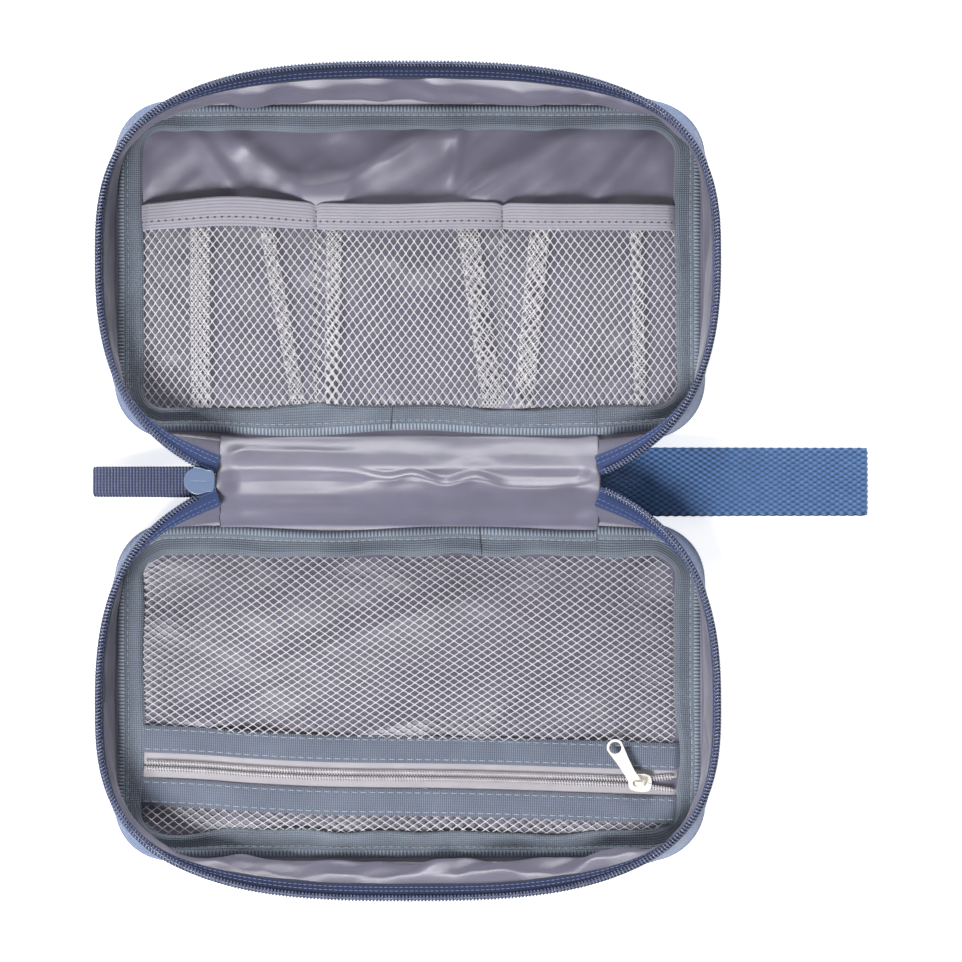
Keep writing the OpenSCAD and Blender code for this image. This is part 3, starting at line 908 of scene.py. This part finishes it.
def spine():
    """The two cloths of the spine, each one piece that bends over the ridge."""
    x = np.linspace(-SPINE_L, SPINE_L, 320)
    y = np.concatenate([[-21.5, -19.5, -18], np.linspace(-17, 17, 110), [18, 19.5, 21.5]])
    gx, gy = grid(x, y)
    ends = smooth(np.abs(gx), SPINE_L - 10, SPINE_L)
    flank = 1 - smooth(np.abs(gy), 11, 17)
    line = np.interp(gx, CREASE_X, CREASE_Y)
    kernel = np.hanning(29) / np.hanning(29).sum()
    pad = np.pad(line[:, 0], 14, mode="edge")
    line = np.convolve(pad, kernel, mode="valid")[:, None]
    off = gy - line
    lively = (0.45 + 0.55 * bell(gx, 12, 38)) * (1 - ends)
    crease = 2.0 * bell(off, 0, 2.3) - 2.6 * bell(off, 4.2, 2.9)
    folds = 1.5 * rumple(gx, gy, 61, 10, 3.0, -8) + 0.35 * rumple(gx, gy, 62, 5.5, 2.5, 14)
    inset = 1.7 + 1.9 * smooth(np.abs(gy), 9, 16)
    z = soft_min(slope_line(gy, inset), 23.6 + 0 * gy, 2.6 + 3.5 * (1 - ends))
    z = z + crease * lively * flank + folds * flank * (1 - ends) - 0.6 * (1 - ends)
    z = -soft_min(-z, -(LINING_Z + 0.8 + 0.5 * rumple(gx, gy, 64, 9, 2.5, 0)), 2.0)
    z = -soft_min(-z, -(spine_cloth(gy) + 0.9), 0.8)
    z = np.clip(soft_min(z, 25.3, 0.9), LINING_Z + 0.5, 25.4)
    lining = surface("spine_lining", from_middle(gx, gy, z), thick=0.2)
    fit(lining, None, "lining", LINING, "lower_spine_lining", "upper_spine_lining")
    fx, fy = grid(x, np.linspace(-BASE_NEAR - 0.5, BASE_NEAR + 0.5, 60))
    outer = surface("spine_outer", from_middle(fx, fy, spine_cloth(fy)), thick=0.6)
    nodes = ("lower_spine_outer", "upper_spine_outer", "spine_ridge")
    fit(outer, None, "outer_fabric", OUTER, *nodes)
    cloth(lining)
    cloth(outer)
    rings = []
    for end in (0, -1):
        seam = from_middle(gx[end], gy[end], z[end] + 0.12)[4:-4]
        up = unit(np.cross(np.gradient(seam, axis=0), X_AXIS))
        rings.append(tube_points(seam, X_AXIS, up, 0.24, 6))
    seams = fit(tubes("spine_seams", rings), None, "lining", DARK_THREAD)
    for piece, turn in ((lining, 2.5), (outer, 5.0), (seams, 2.5)):
        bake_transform(piece)


for each in SIDES:
    outer_shell(each)
    floor_lining(each)
    wall_lining(each)
    binding(each)
    main_zip(each)
    foam_board(each)
spine()

# ---- nets ----------------------------------------------------------------------------------

POCKET_LOW, POCKET_HIGH = box_mm("net_pocket_elastic")
POCKET_FOOT = box_mm("net_pocket_left")[0][1]
POCKET_SIDE = (POCKET_HIGH[0] - POCKET_LOW[0]) / 2
ELASTIC_W = POCKET_HIGH[1] - POCKET_LOW[1]
DIVIDER_X = 35.6
POCKET_H = 7.2
POCKET_EDGES = (-POCKET_SIDE, -DIVIDER_X, DIVIDER_X, POCKET_SIDE)


def net_cells(width, length, across, down, strand, corner=12):
    """Flat diamond net: each cell's rim of points on its strands' middles, and its hole.

    Returns the points (x, y, height) and the faces of every cell over width by length."""
    cols, rows = int(width / across) + 1, int(2 * length / down) + 1
    i, j = grid(np.arange(cols), np.arange(rows))
    cx = (i + 0.5 * (j % 2)) * across
    cy = j * down / 2
    cx, cy = cx.ravel(), cy.ravel()
    a = np.arange(corner) * 2 * np.pi / corner
    reach = 1 / (np.abs(np.cos(a)) / (across / 2) + np.abs(np.sin(a)) / (down / 2))
    out = np.column_stack([reach * np.cos(a), reach * np.sin(a)])
    # The hole is a diamond drawn in by half a strand, with its corners rounded off.
    slope = math.hypot(across, down)
    hx, hy = across / 2 - strand / 2 * slope / down, down / 2 - strand / 2 * slope / across
    soft = 1 / ((np.abs(np.cos(a)) / hx) ** 1.35 + (np.abs(np.sin(a)) / hy) ** 1.35) ** (1 / 1.35)
    hole = np.column_stack([soft * np.cos(a), soft * np.sin(a)])
    hole = np.where(np.abs(hole) > np.abs(out) * 0.9, out * 0.86, hole)
    centre = np.column_stack([cx, cy])
    outer = centre[:, None, :] + out[None]
    inner = centre[:, None, :] + hole[None]
    pts = np.concatenate(
        [
            np.concatenate([outer, np.full(outer.shape[:2] + (1,), 0.22)], axis=2),
            np.concatenate([inner, np.zeros(inner.shape[:2] + (1,))], axis=2),
        ],
        axis=1,
    )
    k = np.arange(corner)
    k2 = (k + 1) % corner
    quad = np.column_stack([k, k2, k2 + corner, k + corner])
    faces = (quad[None] + (np.arange(len(centre)) * 2 * corner)[:, None, None]).reshape(-1, 4)
    return pts.reshape(-1, 3), faces


def trimmed(points, faces, keep):
    """Faces whose points are all kept, and only the points that they use."""
    faces = faces[keep[faces].all(axis=1)]
    used = np.unique(faces)
    index = np.zeros(len(points), int)
    index[used] = np.arange(len(used))
    return points[used], index[faces]


def net_sheet(flat, faces):
    """Works out a net's width and length from its flat cut, and its area, that of its strands alone.

    The area is raised to at least 0.3 of width times length, a little more than open net has; nothing is
    done with these. A declared area is at least 0.3 of width times length, a little more than open net
    has."""
    width, length = (float(c) for c in np.ptp(flat[:, :2], axis=0) * MM)
    x, y = flat[faces, 0], flat[faces, 1]
    area = 0.5 * np.abs((x * np.roll(y, -1, axis=1) - y * np.roll(x, -1, axis=1)).sum(axis=1)).sum()
    area = max(float(area) * MM**2, 0.301 * width * length)


def pocket_lift(s):
    return np.sin(np.pi * np.clip(s, 0, 1)) ** 0.45


def row_lift(y):
    """Share of the full height that a pocket's net reaches at distance y from the spine."""
    return np.interp(y - POCKET_FOOT, [0, 4, 11, 30], [0.2, 0.62, 0.94, 1])


# Pleats of each pocket: place at the elastic, place at the foot, and how much net they take in.
PLEATS = {
    "left": ((-79.5, -79.0, 7.5), (-54.5, -42.0, 5.5)),
    "middle": ((-28.5, -29.5, 6.0), (22.0, 32.0, 8.5)),
    "right": ((50.0, 43.5, 8.0), (86.0, 88.0, 5.0)),
}


def pleated(x0, pleats, s, y):
    """Place of flat net width s at row y once the pleats are folded, with its height in them."""
    top, foot = ELASTIC_Y + 2, POCKET_FOOT
    share = np.clip((top - y) / (top - foot), 0, 1)
    x = x0 + s
    lift = np.zeros_like(s)
    taken = 0.0
    for at_top, at_foot, width in pleats:
        centre = at_top + (at_foot - at_top) * share
        begin = centre + width / 2 - x0 + 2 * taken
        back = np.clip(s - begin, 0, width)
        x = x - 2 * back
        forward = np.clip(s - begin - width, 0, width)
        past = smooth(s - begin - width, width, width + 14)
        lift += 0.9 * back / width + 0.5 * forward / width - 1.4 * past
        taken += width
    return x, lift


def net_pocket(which, number):
    x0, x1 = POCKET_EDGES[number], POCKET_EDGES[number + 1]
    pleats = PLEATS[which]
    width = x1 - x0 + 2 * sum(p[2] for p in pleats)
    length = ELASTIC_Y + 3 - POCKET_FOOT
    flat, faces = net_cells(width + 3.4, length, 3.1, 4.25, 0.5)
    flat[:, 0] -= 1.6
    inside = (flat[:, 0] > -1.7) & (flat[:, 0] < width + 1.7) & (flat[:, 1] > 0) & (flat[:, 1] < length)
    flat, faces = trimmed(flat, faces, inside)
    y = POCKET_FOOT - 0.8 + flat[:, 1]
    # The net pulls askew between its pleats, so its rows rise and fall.
    skew = 2.2 * wavy(flat[:, 0], 90 + number, 60)
    y = y + skew * np.sin(np.pi * flat[:, 1] / length)
    x, lift = pleated(x0, pleats, flat[:, 0], y)
    share = (x - x0) / (x1 - x0)
    belly = POCKET_H * pocket_lift(0.02 + 0.96 * share) * row_lift(y)
    # The elastic holds the net's mouth lower than its middle.
    belly = belly * (1 - 0.27 * smooth(y, ELASTIC_Y - 22, ELASTIC_Y))
    sag = 0.55 * rumple(x, y, 100 + number, 13, 2.4, 80) * np.minimum(belly / 4, 1)
    z = LINING_Z + 0.35 + np.maximum(belly + sag + lift * np.minimum(belly / 3, 1), 0.1) + flat[:, 2]
    piece = mesh_object(f"{which}_pocket_net", world("upper", x, y, z), faces)
    fit(piece, UPPER, "net", NET, f"net_pocket_{which}")
    net_sheet(flat, faces)


def elastic_top(x):
    """Height of the elastic at a place across the pockets."""
    number = np.clip(np.searchsorted(POCKET_EDGES, x) - 1, 0, 2)
    edges = np.array(POCKET_EDGES)
    share = (x - edges[number]) / (edges[number + 1] - edges[number])
    bulge = np.sin(np.pi * np.clip(share, 0, 1)) ** 0.4
    return 2.2 + (POCKET_H - 3.2) * bulge


def elastic():
    x = np.linspace(-POCKET_SIDE - 2, POCKET_SIDE + 2, 430)
    q = np.linspace(0, 1, 14)
    gx, gq = grid(x, q)
    lift = elastic_top(gx)
    peak = 2.6 * bell(gx, -66, 22) - 0.6 + 0.5 * wavy(gx, 7, 90)
    y = ELASTIC_Y + peak * (0.6 + 0.4 * gq) + gq * (ELASTIC_W + 0.5)
    pinch = bell(np.abs(gx), DIVIDER_X, 1.6)
    y = y - 0.9 * pinch * gq + 0.5 * pinch * (1 - gq)
    tuck = 1.4 * smooth(np.abs(gx), POCKET_SIDE - 3, POCKET_SIDE + 1)
    z = LINING_Z + 0.9 + lift * (0.93 + 0.07 * gq) + 0.25 * np.sin(np.pi * gq) - tuck
    p = world("upper", gx, y, z)
    band = surface("pocket_elastic", p, thick=0.8)
    fit(band, UPPER, "elastic", ELASTIC, "net_pocket_elastic")
    cloth(band)
    row = p[:, 4] + [0, 0, 0.42]
    fit(stitches("elastic_stitches", [row], 2.7, 0.36, 0.3, 0.55), UPPER, "elastic", DARK_THREAD)
    seams = []
    for s in (-1, 1):
        column = p[np.argmin(np.abs(x - s * DIVIDER_X))] + [0, 0, 0.45]
        seams.append(column)
    fit(stitches("elastic_seams", seams, 1.8, 0.8, 0.2), UPPER, "elastic", DARK_THREAD)


for n, which in enumerate(PLEATS):
    net_pocket(which, n)
elastic()

# ---- zip pocket of the lower tray ----------------------------------------------------------

TILT = math.radians(-2)
ZIP_Y = 111.8
ZIP_HALF = POCKET_SIDE
BAND_W = 10.3
BAND_FROM = 4.9
TAPE_Z = box_mm("zip_pocket_tape_near")[0][2]
SLIDER_X = 88.0
OPEN_FROM = 86.0      # past the slider the pocket zip has come apart


def zip_frame(x, y, z):
    """Pocket zip coordinates: x along it, +y towards the spine."""
    x, y, z = np.broadcast_arrays(x, y, z)
    c, s = math.cos(TILT), math.sin(TILT)
    y = y - 1.3 * bell(x, -36, 42) * smooth(x, -92, -60)
    return np.stack([CASE_X + x * c - y * s, -ZIP_Y + x * s + y * c, z], axis=-1).astype(float)


def gape(x, sign):
    """The zip's two sides part a little past the slider."""
    return sign * 1.5 * smooth(x, OPEN_FROM, ZIP_HALF + 2)


def zip_wave(x, y):
    return 0.35 * rumple(x, y, 55, 30, 2.5, 0)


def strip(name, y0, y1, z, slot, paint, node, thick, crown, sign=0):
    """A tape sewn along the pocket's zip; sign is given where the tape parts with the zip."""
    x = np.linspace(-ZIP_HALF - 3, ZIP_HALF + 3, 300)
    q = np.linspace(0, 1, 8)
    gx, gq = grid(x, q)
    y = y0 + (y1 - y0) * gq
    if sign:
        inner = 1 - gq if sign > 0 else gq
        y = y + gape(gx, sign) * inner
    drop = 2.6 * smooth(np.abs(gx), ZIP_HALF - 1, ZIP_HALF + 3)
    gz = z + crown * np.sin(np.pi * gq) + zip_wave(gx, y) - drop
    p = zip_frame(gx, y, gz)
    piece = surface(name, p, thick=thick)
    fit(piece, LOWER, slot, paint, node)
    cloth(piece)
    return p


def zip_pocket():
    for which, sign in (("near", 1), ("far", -1)):
        a, b = sorted((sign * BAND_FROM, sign * (BAND_FROM + BAND_W)))
        name = f"zip_pocket_band_{which}"
        p = strip(f"band_{which}", a, b, TAPE_Z + 1.15, "band", BAND, name, 0.5, 0.25)
        rows = [p[:, 1] + [0, 0, 0.33], p[:, 6] + [0, 0, 0.33]]
        fit(stitches(f"band_stitches_{which}", rows, 3.45, 0.74, 0.2), LOWER, "band", SLATE_THREAD)
        a, b = sorted((sign * 0.5, sign * 11.2))
        name = f"zip_pocket_tape_{which}"
        low = TAPE_Z + 0.45
        strip(f"silver_tape_{which}", a, b, low, "pocket_zip_tape", PALE_TAPE, name, 0.3, 0.15, sign)
        x = np.linspace(-ZIP_HALF + 1, ZIP_HALF - 0.5, 900)
        y = sign * 1.12 + gape(x, sign)
        centre = zip_frame(x, y, TAPE_Z + 1.5 + zip_wave(x, y))
        coil = coil_row(f"silver_coil_{which}", centre, 1.05, 0.88, 0.55, 0.25, 12)
        fit(coil, LOWER, "pocket_zip_coil", PALE_COIL, f"zip_pocket_coil_{which}")


def net_height(x, y, edge):
    """The zip pocket's net: slack in the middle, and tucked under the binding at its edge."""
    high = TAPE_Z + 0.3 + NET_BELLY * belly_of(x, y) + 0.6 * rumple(x, y, 77, 22, 2.0, 30)
    return high - 1.9 * (1 - smooth(edge, 0, 3.5))


NET_INSET = 10     # from the panel's edge to the net's


def zip_net(name, y_from, y_to, node):
    """A net panel cut to the space inside the binding, on one side of the pocket zip."""
    width, length = 2 * POCKET_SIDE + 6, y_to - y_from
    flat, faces = net_cells(width, length, 4.25, 2.9, 0.46)
    x = flat[:, 0] - width / 2
    y = flat[:, 1] + y_from
    skew = 1.6 * wavy(x, 120, 130) + 0.9 * wavy(y * 1.3, 121, 80)
    x = x + 0.8 * wavy(y, 122, 55)
    y = y + skew * smooth(flat[:, 1], 0, 20) * (1 - smooth(flat[:, 1], length - 14, length))
    # Keeps to the panel inside the binding, whose corners are round.
    r = BASE_R - NET_INSET
    half = (BASE_FAR - BASE_NEAR) / 2 - NET_INSET
    mid = (BASE_FAR + BASE_NEAR) / 2
    line = ZIP_Y - x * math.sin(TILT)
    below = y > line + BAND_FROM if y_from > ZIP_Y - 8 else y < line - BAND_FROM
    ax = np.maximum(np.abs(x) - (BASE_W - NET_INSET - r), 0)
    ay = np.maximum(np.abs(y - mid) - (half - r), 0)
    keep = (np.hypot(ax, ay) < r) & below
    edge = r - np.hypot(ax, ay)
    pts = np.column_stack([x, y, net_height(x, y, edge) + flat[:, 2], flat])
    pts, faces = trimmed(pts, faces, keep)
    piece = mesh_object(name, world("lower", *pts[:, :3].T), faces)
    fit(piece, LOWER, "net", NET, node)
    net_sheet(pts[:, 3:], faces)


zip_pocket()
zip_net("zip_pocket_main_net", BASE_NEAR + 9, ZIP_Y + 4, "zip_pocket_net")
zip_net("zip_pocket_low_net", ZIP_Y - 2, BASE_FAR - 8, "zip_pocket_net_strip")

# ---- sliders, pulls and handle -------------------------------------------------------------


def curve_loop(points, rounds=2):
    """A closed outline with its corners cut twice, which rounds them."""
    p = np.array(points, float)
    for _ in range(rounds):
        q = np.roll(p, -1, axis=0)
        p = np.stack([0.75 * p + 0.25 * q, 0.25 * p + 0.75 * q], axis=1).reshape(-1, 2)
    return p


def mirrored(points):
    """Points of an outline's other side, from its last back to its first."""
    return [(x, -y) for x, y in points[::-1]]


def circle(x, y, r, n=40):
    return arc(x, y, r, 0, 360 - 360 / n, n)


def arch(x, y, z, radius, wire_w, wire_h, down=False, n=22, foot=1.4):
    """A slider's bridge: a flat bar bent to a half round over the plate, standing on its feet."""
    a = np.linspace(0, np.pi, n)
    px = np.concatenate([[radius], radius * np.cos(a), [-radius]])
    pz = np.concatenate([[-foot], radius * np.sin(a), [-foot]])
    nx = np.concatenate([[1], np.cos(a), [-1]])
    nz = np.concatenate([[0], np.sin(a), [0]])
    section = ((-1, -0.7), (-0.7, -1), (0.7, -1), (1, -0.7), (1, 0.7), (0.7, 1), (-0.7, 1), (-1, 0.7))
    ring = []
    for s, h in section:
        out = h * wire_h / 2
        ring.append(np.column_stack([x + px + nx * out, y + s * wire_w / 2 + 0 * px, pz + nz * out]))
    p = np.stack(ring, axis=1)
    p[..., 2] = z + (-p[..., 2] if down else p[..., 2])
    faces = grid_faces(p.shape[0], p.shape[1], round_v=True)
    if down:
        faces = faces[:, ::-1]
    caps = [list(range(8)), [len(px) * 8 - 8 + k for k in range(8)][::-1]]
    return p.reshape(-1, 3), faces.tolist() + caps


def moved(part, place):
    """Points put through a function of x, y and z."""
    v, f = part
    v = np.asarray(v).reshape(-1, 3)
    return place(v[:, 0], v[:, 1], v[:, 2]), f


SLIDER_LOW = box_mm("pocket_slider_body")[0][2]
TAB_LOW, TAB_HIGH = box_mm("pocket_pull_tab")
BRIDGE_Z = (TAB_LOW[2] + TAB_HIGH[2]) / 2
PLATE_T = 0.9
TAB_ANGLE = math.radians(122)
TAB_L = 15.6
EYE_X = -1.75


def on_pocket_slider(x, y, z):
    return zip_frame(x + SLIDER_X, y, z)


def pocket_slider():
    shoulder = [(-4.4, 2.5), (-1.5, 3.1), (2.2, 3.5), (4, 2.6)]
    outline = curve_loop([(-4.4, -2.5)] + shoulder + [(4.6, 0)] + mirrored(shoulder[1:]))
    top = BRIDGE_Z - 1.3 - PLATE_T
    low = SLIDER_LOW
    parts = [plate("top", [outline], top, top + PLATE_T), plate("low", [outline], low, low + PLATE_T)]
    for s in (-1, 1):
        lip = curve_loop([(-2.4, s * 2.75), (1.9, s * 3.1), (1.9, s * 3.55), (-2.4, s * 3.2)], 1)
        parts.append(plate("lip", [lip if s > 0 else lip[::-1]], top - 0.75, top + 0.3, 0.1))
    neck = [(3.3, -0.12), (4.3, -0.12), (4.3, 0.12), (3.3, 0.12)]
    parts.append(plate("neck", [neck], low, top + PLATE_T, 0.03))
    parts.append(arch(0, 0, BRIDGE_Z, 1.7, 1.4, 0.95))
    boss = curve_loop([(-3.4, -0.9), (-3.4, 0.9), (3, 0.9), (3.4, 0), (3, -0.9)], 2)
    parts.append(plate("boss", [boss], top + PLATE_T - 0.1, top + PLATE_T + 0.25, 0.1))
    body = merged("pocket_slider", [moved(p, on_pocket_slider) for p in parts])
    fit(body, "pocket_slider", "pocket_slider", IVORY, "pocket_slider_body")


def turned(points, angle, x, y):
    c, s = math.cos(angle), math.sin(angle)
    p = np.asarray(points, float)
    return np.column_stack([x + p[:, 0] * c - p[:, 1] * s, y + p[:, 0] * s + p[:, 1] * c])


def pocket_pull():
    eye = arc(0, 0, 2.35, 78, 282, 22)
    ring = arc(TAB_L, 0, 3.25, -78, 78, 26)
    waist = [(4.6, -2.0), (9.5, -2.35)]
    outline = np.vstack([eye, waist, ring, mirrored(waist)])
    loops = [outline, circle(0, 0, 1.15)[::-1], circle(TAB_L, 0, 2.3)[::-1]]
    loops = [turned(loop, TAB_ANGLE, EYE_X, 0) for loop in loops]
    tab = plate("tab", loops, BRIDGE_Z - 0.45, BRIDGE_Z + 0.45, 0.16)
    body = merged("pocket_pull", [moved(tab, on_pocket_slider)])
    fit(body, "pocket_pull", "pocket_pull", IVORY, "pocket_pull_tab")


SLIDER_END = box_mm("main_slider_body")[1][0] - CASE_X
MAIN_TOP = box_mm("main_slider_body")[1][2]
MAIN_PIVOT = (SLIDER_END - 4.6, RIM_H - 4.3)
RIBBON_SLOPE = math.radians(25)
RIBBON_W = 10.8
LINK_L = 9.0
RIBBON_START = -3.6   # the ribbon's sleeve covers the link up to the slider's nose


def on_main_slider(x, y, z):
    return from_middle(x + SLIDER_END, y, z)


def main_slider():
    flank = [(0.5, 3.9), (-2.4, 4.1), (-4.6, 4.9), (-6.3, 5.2), (-8.4, 4.5), (-10.2, 2.9), (-11.1, 0.9)]
    outline = curve_loop(flank + mirrored(flank))[::-1]
    parts = [
        plate("top", [outline], MAIN_TOP - 1.2, MAIN_TOP, 0.35),
        plate("low", [outline], MAIN_TOP - 4.15, MAIN_TOP - 2.95, 0.3),
    ]
    ridge = curve_loop([(-8.6, -0.22), (-0.9, -0.22), (-0.9, 0.22), (-8.6, 0.22)], 1)
    parts.append(plate("ridge", [ridge], MAIN_TOP - 0.1, MAIN_TOP + 0.14, 0.1))
    for s in (-1, 1):
        lip = [(-6.4, s * 3.3 - 0.4), (-1.5, s * 3.3 - 0.4), (-1.5, s * 3.3 + 0.4), (-6.4, s * 3.3 + 0.4)]
        parts.append(plate("lip", [lip], MAIN_TOP - 3.1, MAIN_TOP - 2.35, 0.1))
    neck = [(-9.7, -1), (-8.1, -1), (-8.1, 1), (-9.7, 1)]
    parts.append(plate("neck", [neck], MAIN_TOP - 3.9, MAIN_TOP - 0.6, 0.1))
    parts.append(arch(-4.6, 0, MAIN_PIVOT[1], 1.7, 1.6, 0.95, down=True))
    body = merged("main_slider", [moved(p, on_main_slider) for p in parts])
    fit(body, "main_slider", "main_slider", STEEL_BLUE, "main_slider_body")


def on_main_pull(x, y, z):
    """Pull coordinates: -x along the ribbon, which slopes down to the table."""
    c, s = math.cos(RIBBON_SLOPE), math.sin(RIBBON_SLOPE)
    return np.stack([CASE_X + MAIN_PIVOT[0] + x * c - z * s, y, MAIN_PIVOT[1] + x * s + z * c], axis=-1)


def main_pull():
    eye = arc(EYE_X, 0, 2.35, -68, 68, 22)
    w = RIBBON_W / 2 - 0.9
    bar = [(-LINK_L, 2.0), (-LINK_L, w), (-LINK_L - 2.3, w)]
    outline = np.vstack([eye, bar, mirrored(bar)])
    link = plate("link", [outline, circle(EYE_X, 0, 1.15)[::-1]], -0.45, 0.45, 0.15)
    piece = merged("ribbon_link", [moved(link, on_main_pull)])
    fit(piece, "main_pull", "main_slider", STEEL_BLUE, "main_pull_link")
    low = box_mm("main_pull_ribbon")[0]
    reach = (CASE_X + MAIN_PIVOT[0] - low[0]) / math.cos(RIBBON_SLOPE)
    ribbon = strap("ribbon", RIBBON_START, -reach + 0.9, RIBBON_W, 0.75, on_main_pull, (1.42, 1.1), 0.12)
    fit(ribbon, "main_pull", "ribbon", RIBBON, "main_pull_ribbon")


def strap(name, x_from, x_to, width, gap, place, pitch, relief):
    """A doubled strap: over its link, along, round its end and back underneath."""
    sign = 1 if x_to > x_from else -1
    run = abs(x_to - x_from)
    step = 0.36
    n = int(run / step)
    out = np.column_stack([np.linspace(x_from, x_to, n), np.full(n, gap)])
    a = np.linspace(0, np.pi, 10)[1:-1]
    turn = np.column_stack([x_to + sign * gap * 0.9 * np.sin(a), gap * np.cos(a)])
    back = np.column_stack([np.linspace(x_to, x_from, n), np.full(n, -gap)])
    path = np.vstack([out, turn, back])
    round_end = np.column_stack([sign * np.sin(a), np.cos(a)])
    normal = np.vstack([np.tile([0, 1], (n, 1)), round_end, np.tile([0, -1], (n, 1))])
    length = along(np.column_stack([path, np.zeros(len(path))])[:, None, :])[:, 0]
    v = np.linspace(-width / 2, width / 2, int(width / step) | 1)
    gs, gv = grid(length, v)
    warp, weft = np.sin(2 * np.pi * gs / pitch[0]), np.sin(2 * np.pi * gv / pitch[1])
    knob = warp * weft if pitch[0] > 2 else warp * (0.7 + 0.3 * weft)
    edge = np.minimum(1, (width / 2 - np.abs(gv)) / 0.8)
    rise = relief * knob * edge - 0.25 * (1 - edge)
    x = path[:, 0][:, None] + normal[:, 0][:, None] * rise
    z = path[:, 1][:, None] + normal[:, 1][:, None] * rise
    selvedge = 0.12 * np.sin(2 * np.pi * gs / pitch[0]) * np.sign(gv) * (1 - edge)
    under = np.concatenate([np.zeros(n), np.linspace(0, 1, len(a)), np.ones(n)])[:, None]
    return surface(name, place(x, gv + selvedge - 0.7 * under, z), uv=np.stack([gs, gv], -1), thick=0.45)


HANDLE_HINGE = (94.0, 8.0)
HANDLE_SLOPE = math.radians(4.3)
HANDLE_W = 25.0
ROOT_X = 66.0


def on_handle(x, y, z):
    """Handle coordinates: x from the case's middle. The root is bent over inside the spine."""
    c, s = math.cos(HANDLE_SLOPE), math.sin(HANDLE_SLOPE)
    out = np.maximum(x - HANDLE_HINGE[0], 0)
    inner = smooth(HANDLE_HINGE[0] - x, 2, 24)
    width = y * (1 - 0.26 * inner)
    bend = 0.9 * inner * np.abs(width)
    rise = 9.2 * inner
    return np.stack([
        CASE_X + np.minimum(x, HANDLE_HINGE[0]) + out * c + z * s * (out > 0),
        width,
        HANDLE_HINGE[1] - out * s + rise - bend + z,
    ], axis=-1)


def handle():
    reach = box_mm("handle_loop")[1][0] - CASE_X
    width = HANDLE_W + 0.4
    piece = strap("webbing_handle", ROOT_X, reach - 1.4, width, 1.0, on_handle, (3.4, 2.1), 0.24)
    fit(piece, None, "webbing", WEBBING, "handle_root", "handle_loop")
    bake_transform(piece)


def chain_end():
    """The closed end of the main zip: both rows of coil, meshed, under the slider."""
    rows = []
    for s in (-1, 1):
        x = np.linspace(SLIDER_END - 7, SLIDER_END + 0.3, 80)
        centre = from_middle(x, s * 0.75 + 0 * x, RIM_H - 1.1 + 0 * x)
        rows.append(helix(centre, 1.3, 1.1, 0.5, 0.28))
    fit(tubes("closed_chain", rows), LOWER, "zip_coil", COIL, "zip_chain_end")


pocket_slider()
pocket_pull()
main_slider()
main_pull()
handle()
chain_end()

# ---- camera, light and floor ---------------------------------------------------------------

CAMERA_HEIGHT = 1.0
PHOTO_WIDTH = 0.3694      # width of the view at table height


def studio():
    camera = bpy.data.cameras.new("camera")
    camera.sensor_width = 36
    camera.lens = 36 * CAMERA_HEIGHT / PHOTO_WIDTH
    view = placed("camera", camera)
    view.location = (0, 0, CAMERA_HEIGHT)
    bpy.context.scene.camera = view

    def lamp(name, place, size, power):
        light = bpy.data.lights.new(name, "AREA")
        light.size = size
        light.energy = power
        obj = placed(name, light)
        obj.location = place
        obj.rotation_euler = (-Vector(place)).to_track_quat("-Z", "Y").to_euler()

    lamp("key", (-0.45, -0.8, 1.0), 0.45, 25)
    lamp("back", (-0.1, 1.3, 0.35), 0.5, 22)
    lamp("fill", (0.5, 0.5, 1.0), 0.9, 1.5)
    sky = bpy.data.worlds.new("studio")
    bpy.context.scene.world = sky
    sky.use_nodes = True
    background = sky.node_tree.nodes["Background"].inputs
    background["Color"].default_value = (1, 1, 1, 1)
    background["Strength"].default_value = 0.24
    bpy.context.scene.view_settings.view_transform = "Standard"
    half = 12.0
    corners = [(-half, -half, 0), (half, -half, 0), (half, half, 0), (-half, half, 0)]
    mesh = bpy.data.meshes.new("floor")
    mesh.from_pydata(corners, [], [(0, 1, 2, 3)])
    floor = placed("floor", mesh)
    floor.location.z = -0.0003
    p = Paint("pale_floor", roughness=0.9, specular=0.1)
    p.colour((0.9, 0.9, 0.9, 1.0))
    p.set("Emission Color", (1, 1, 1, 1)).set("Emission Strength", 0.7)
    mesh.materials.append(p.material)


studio()
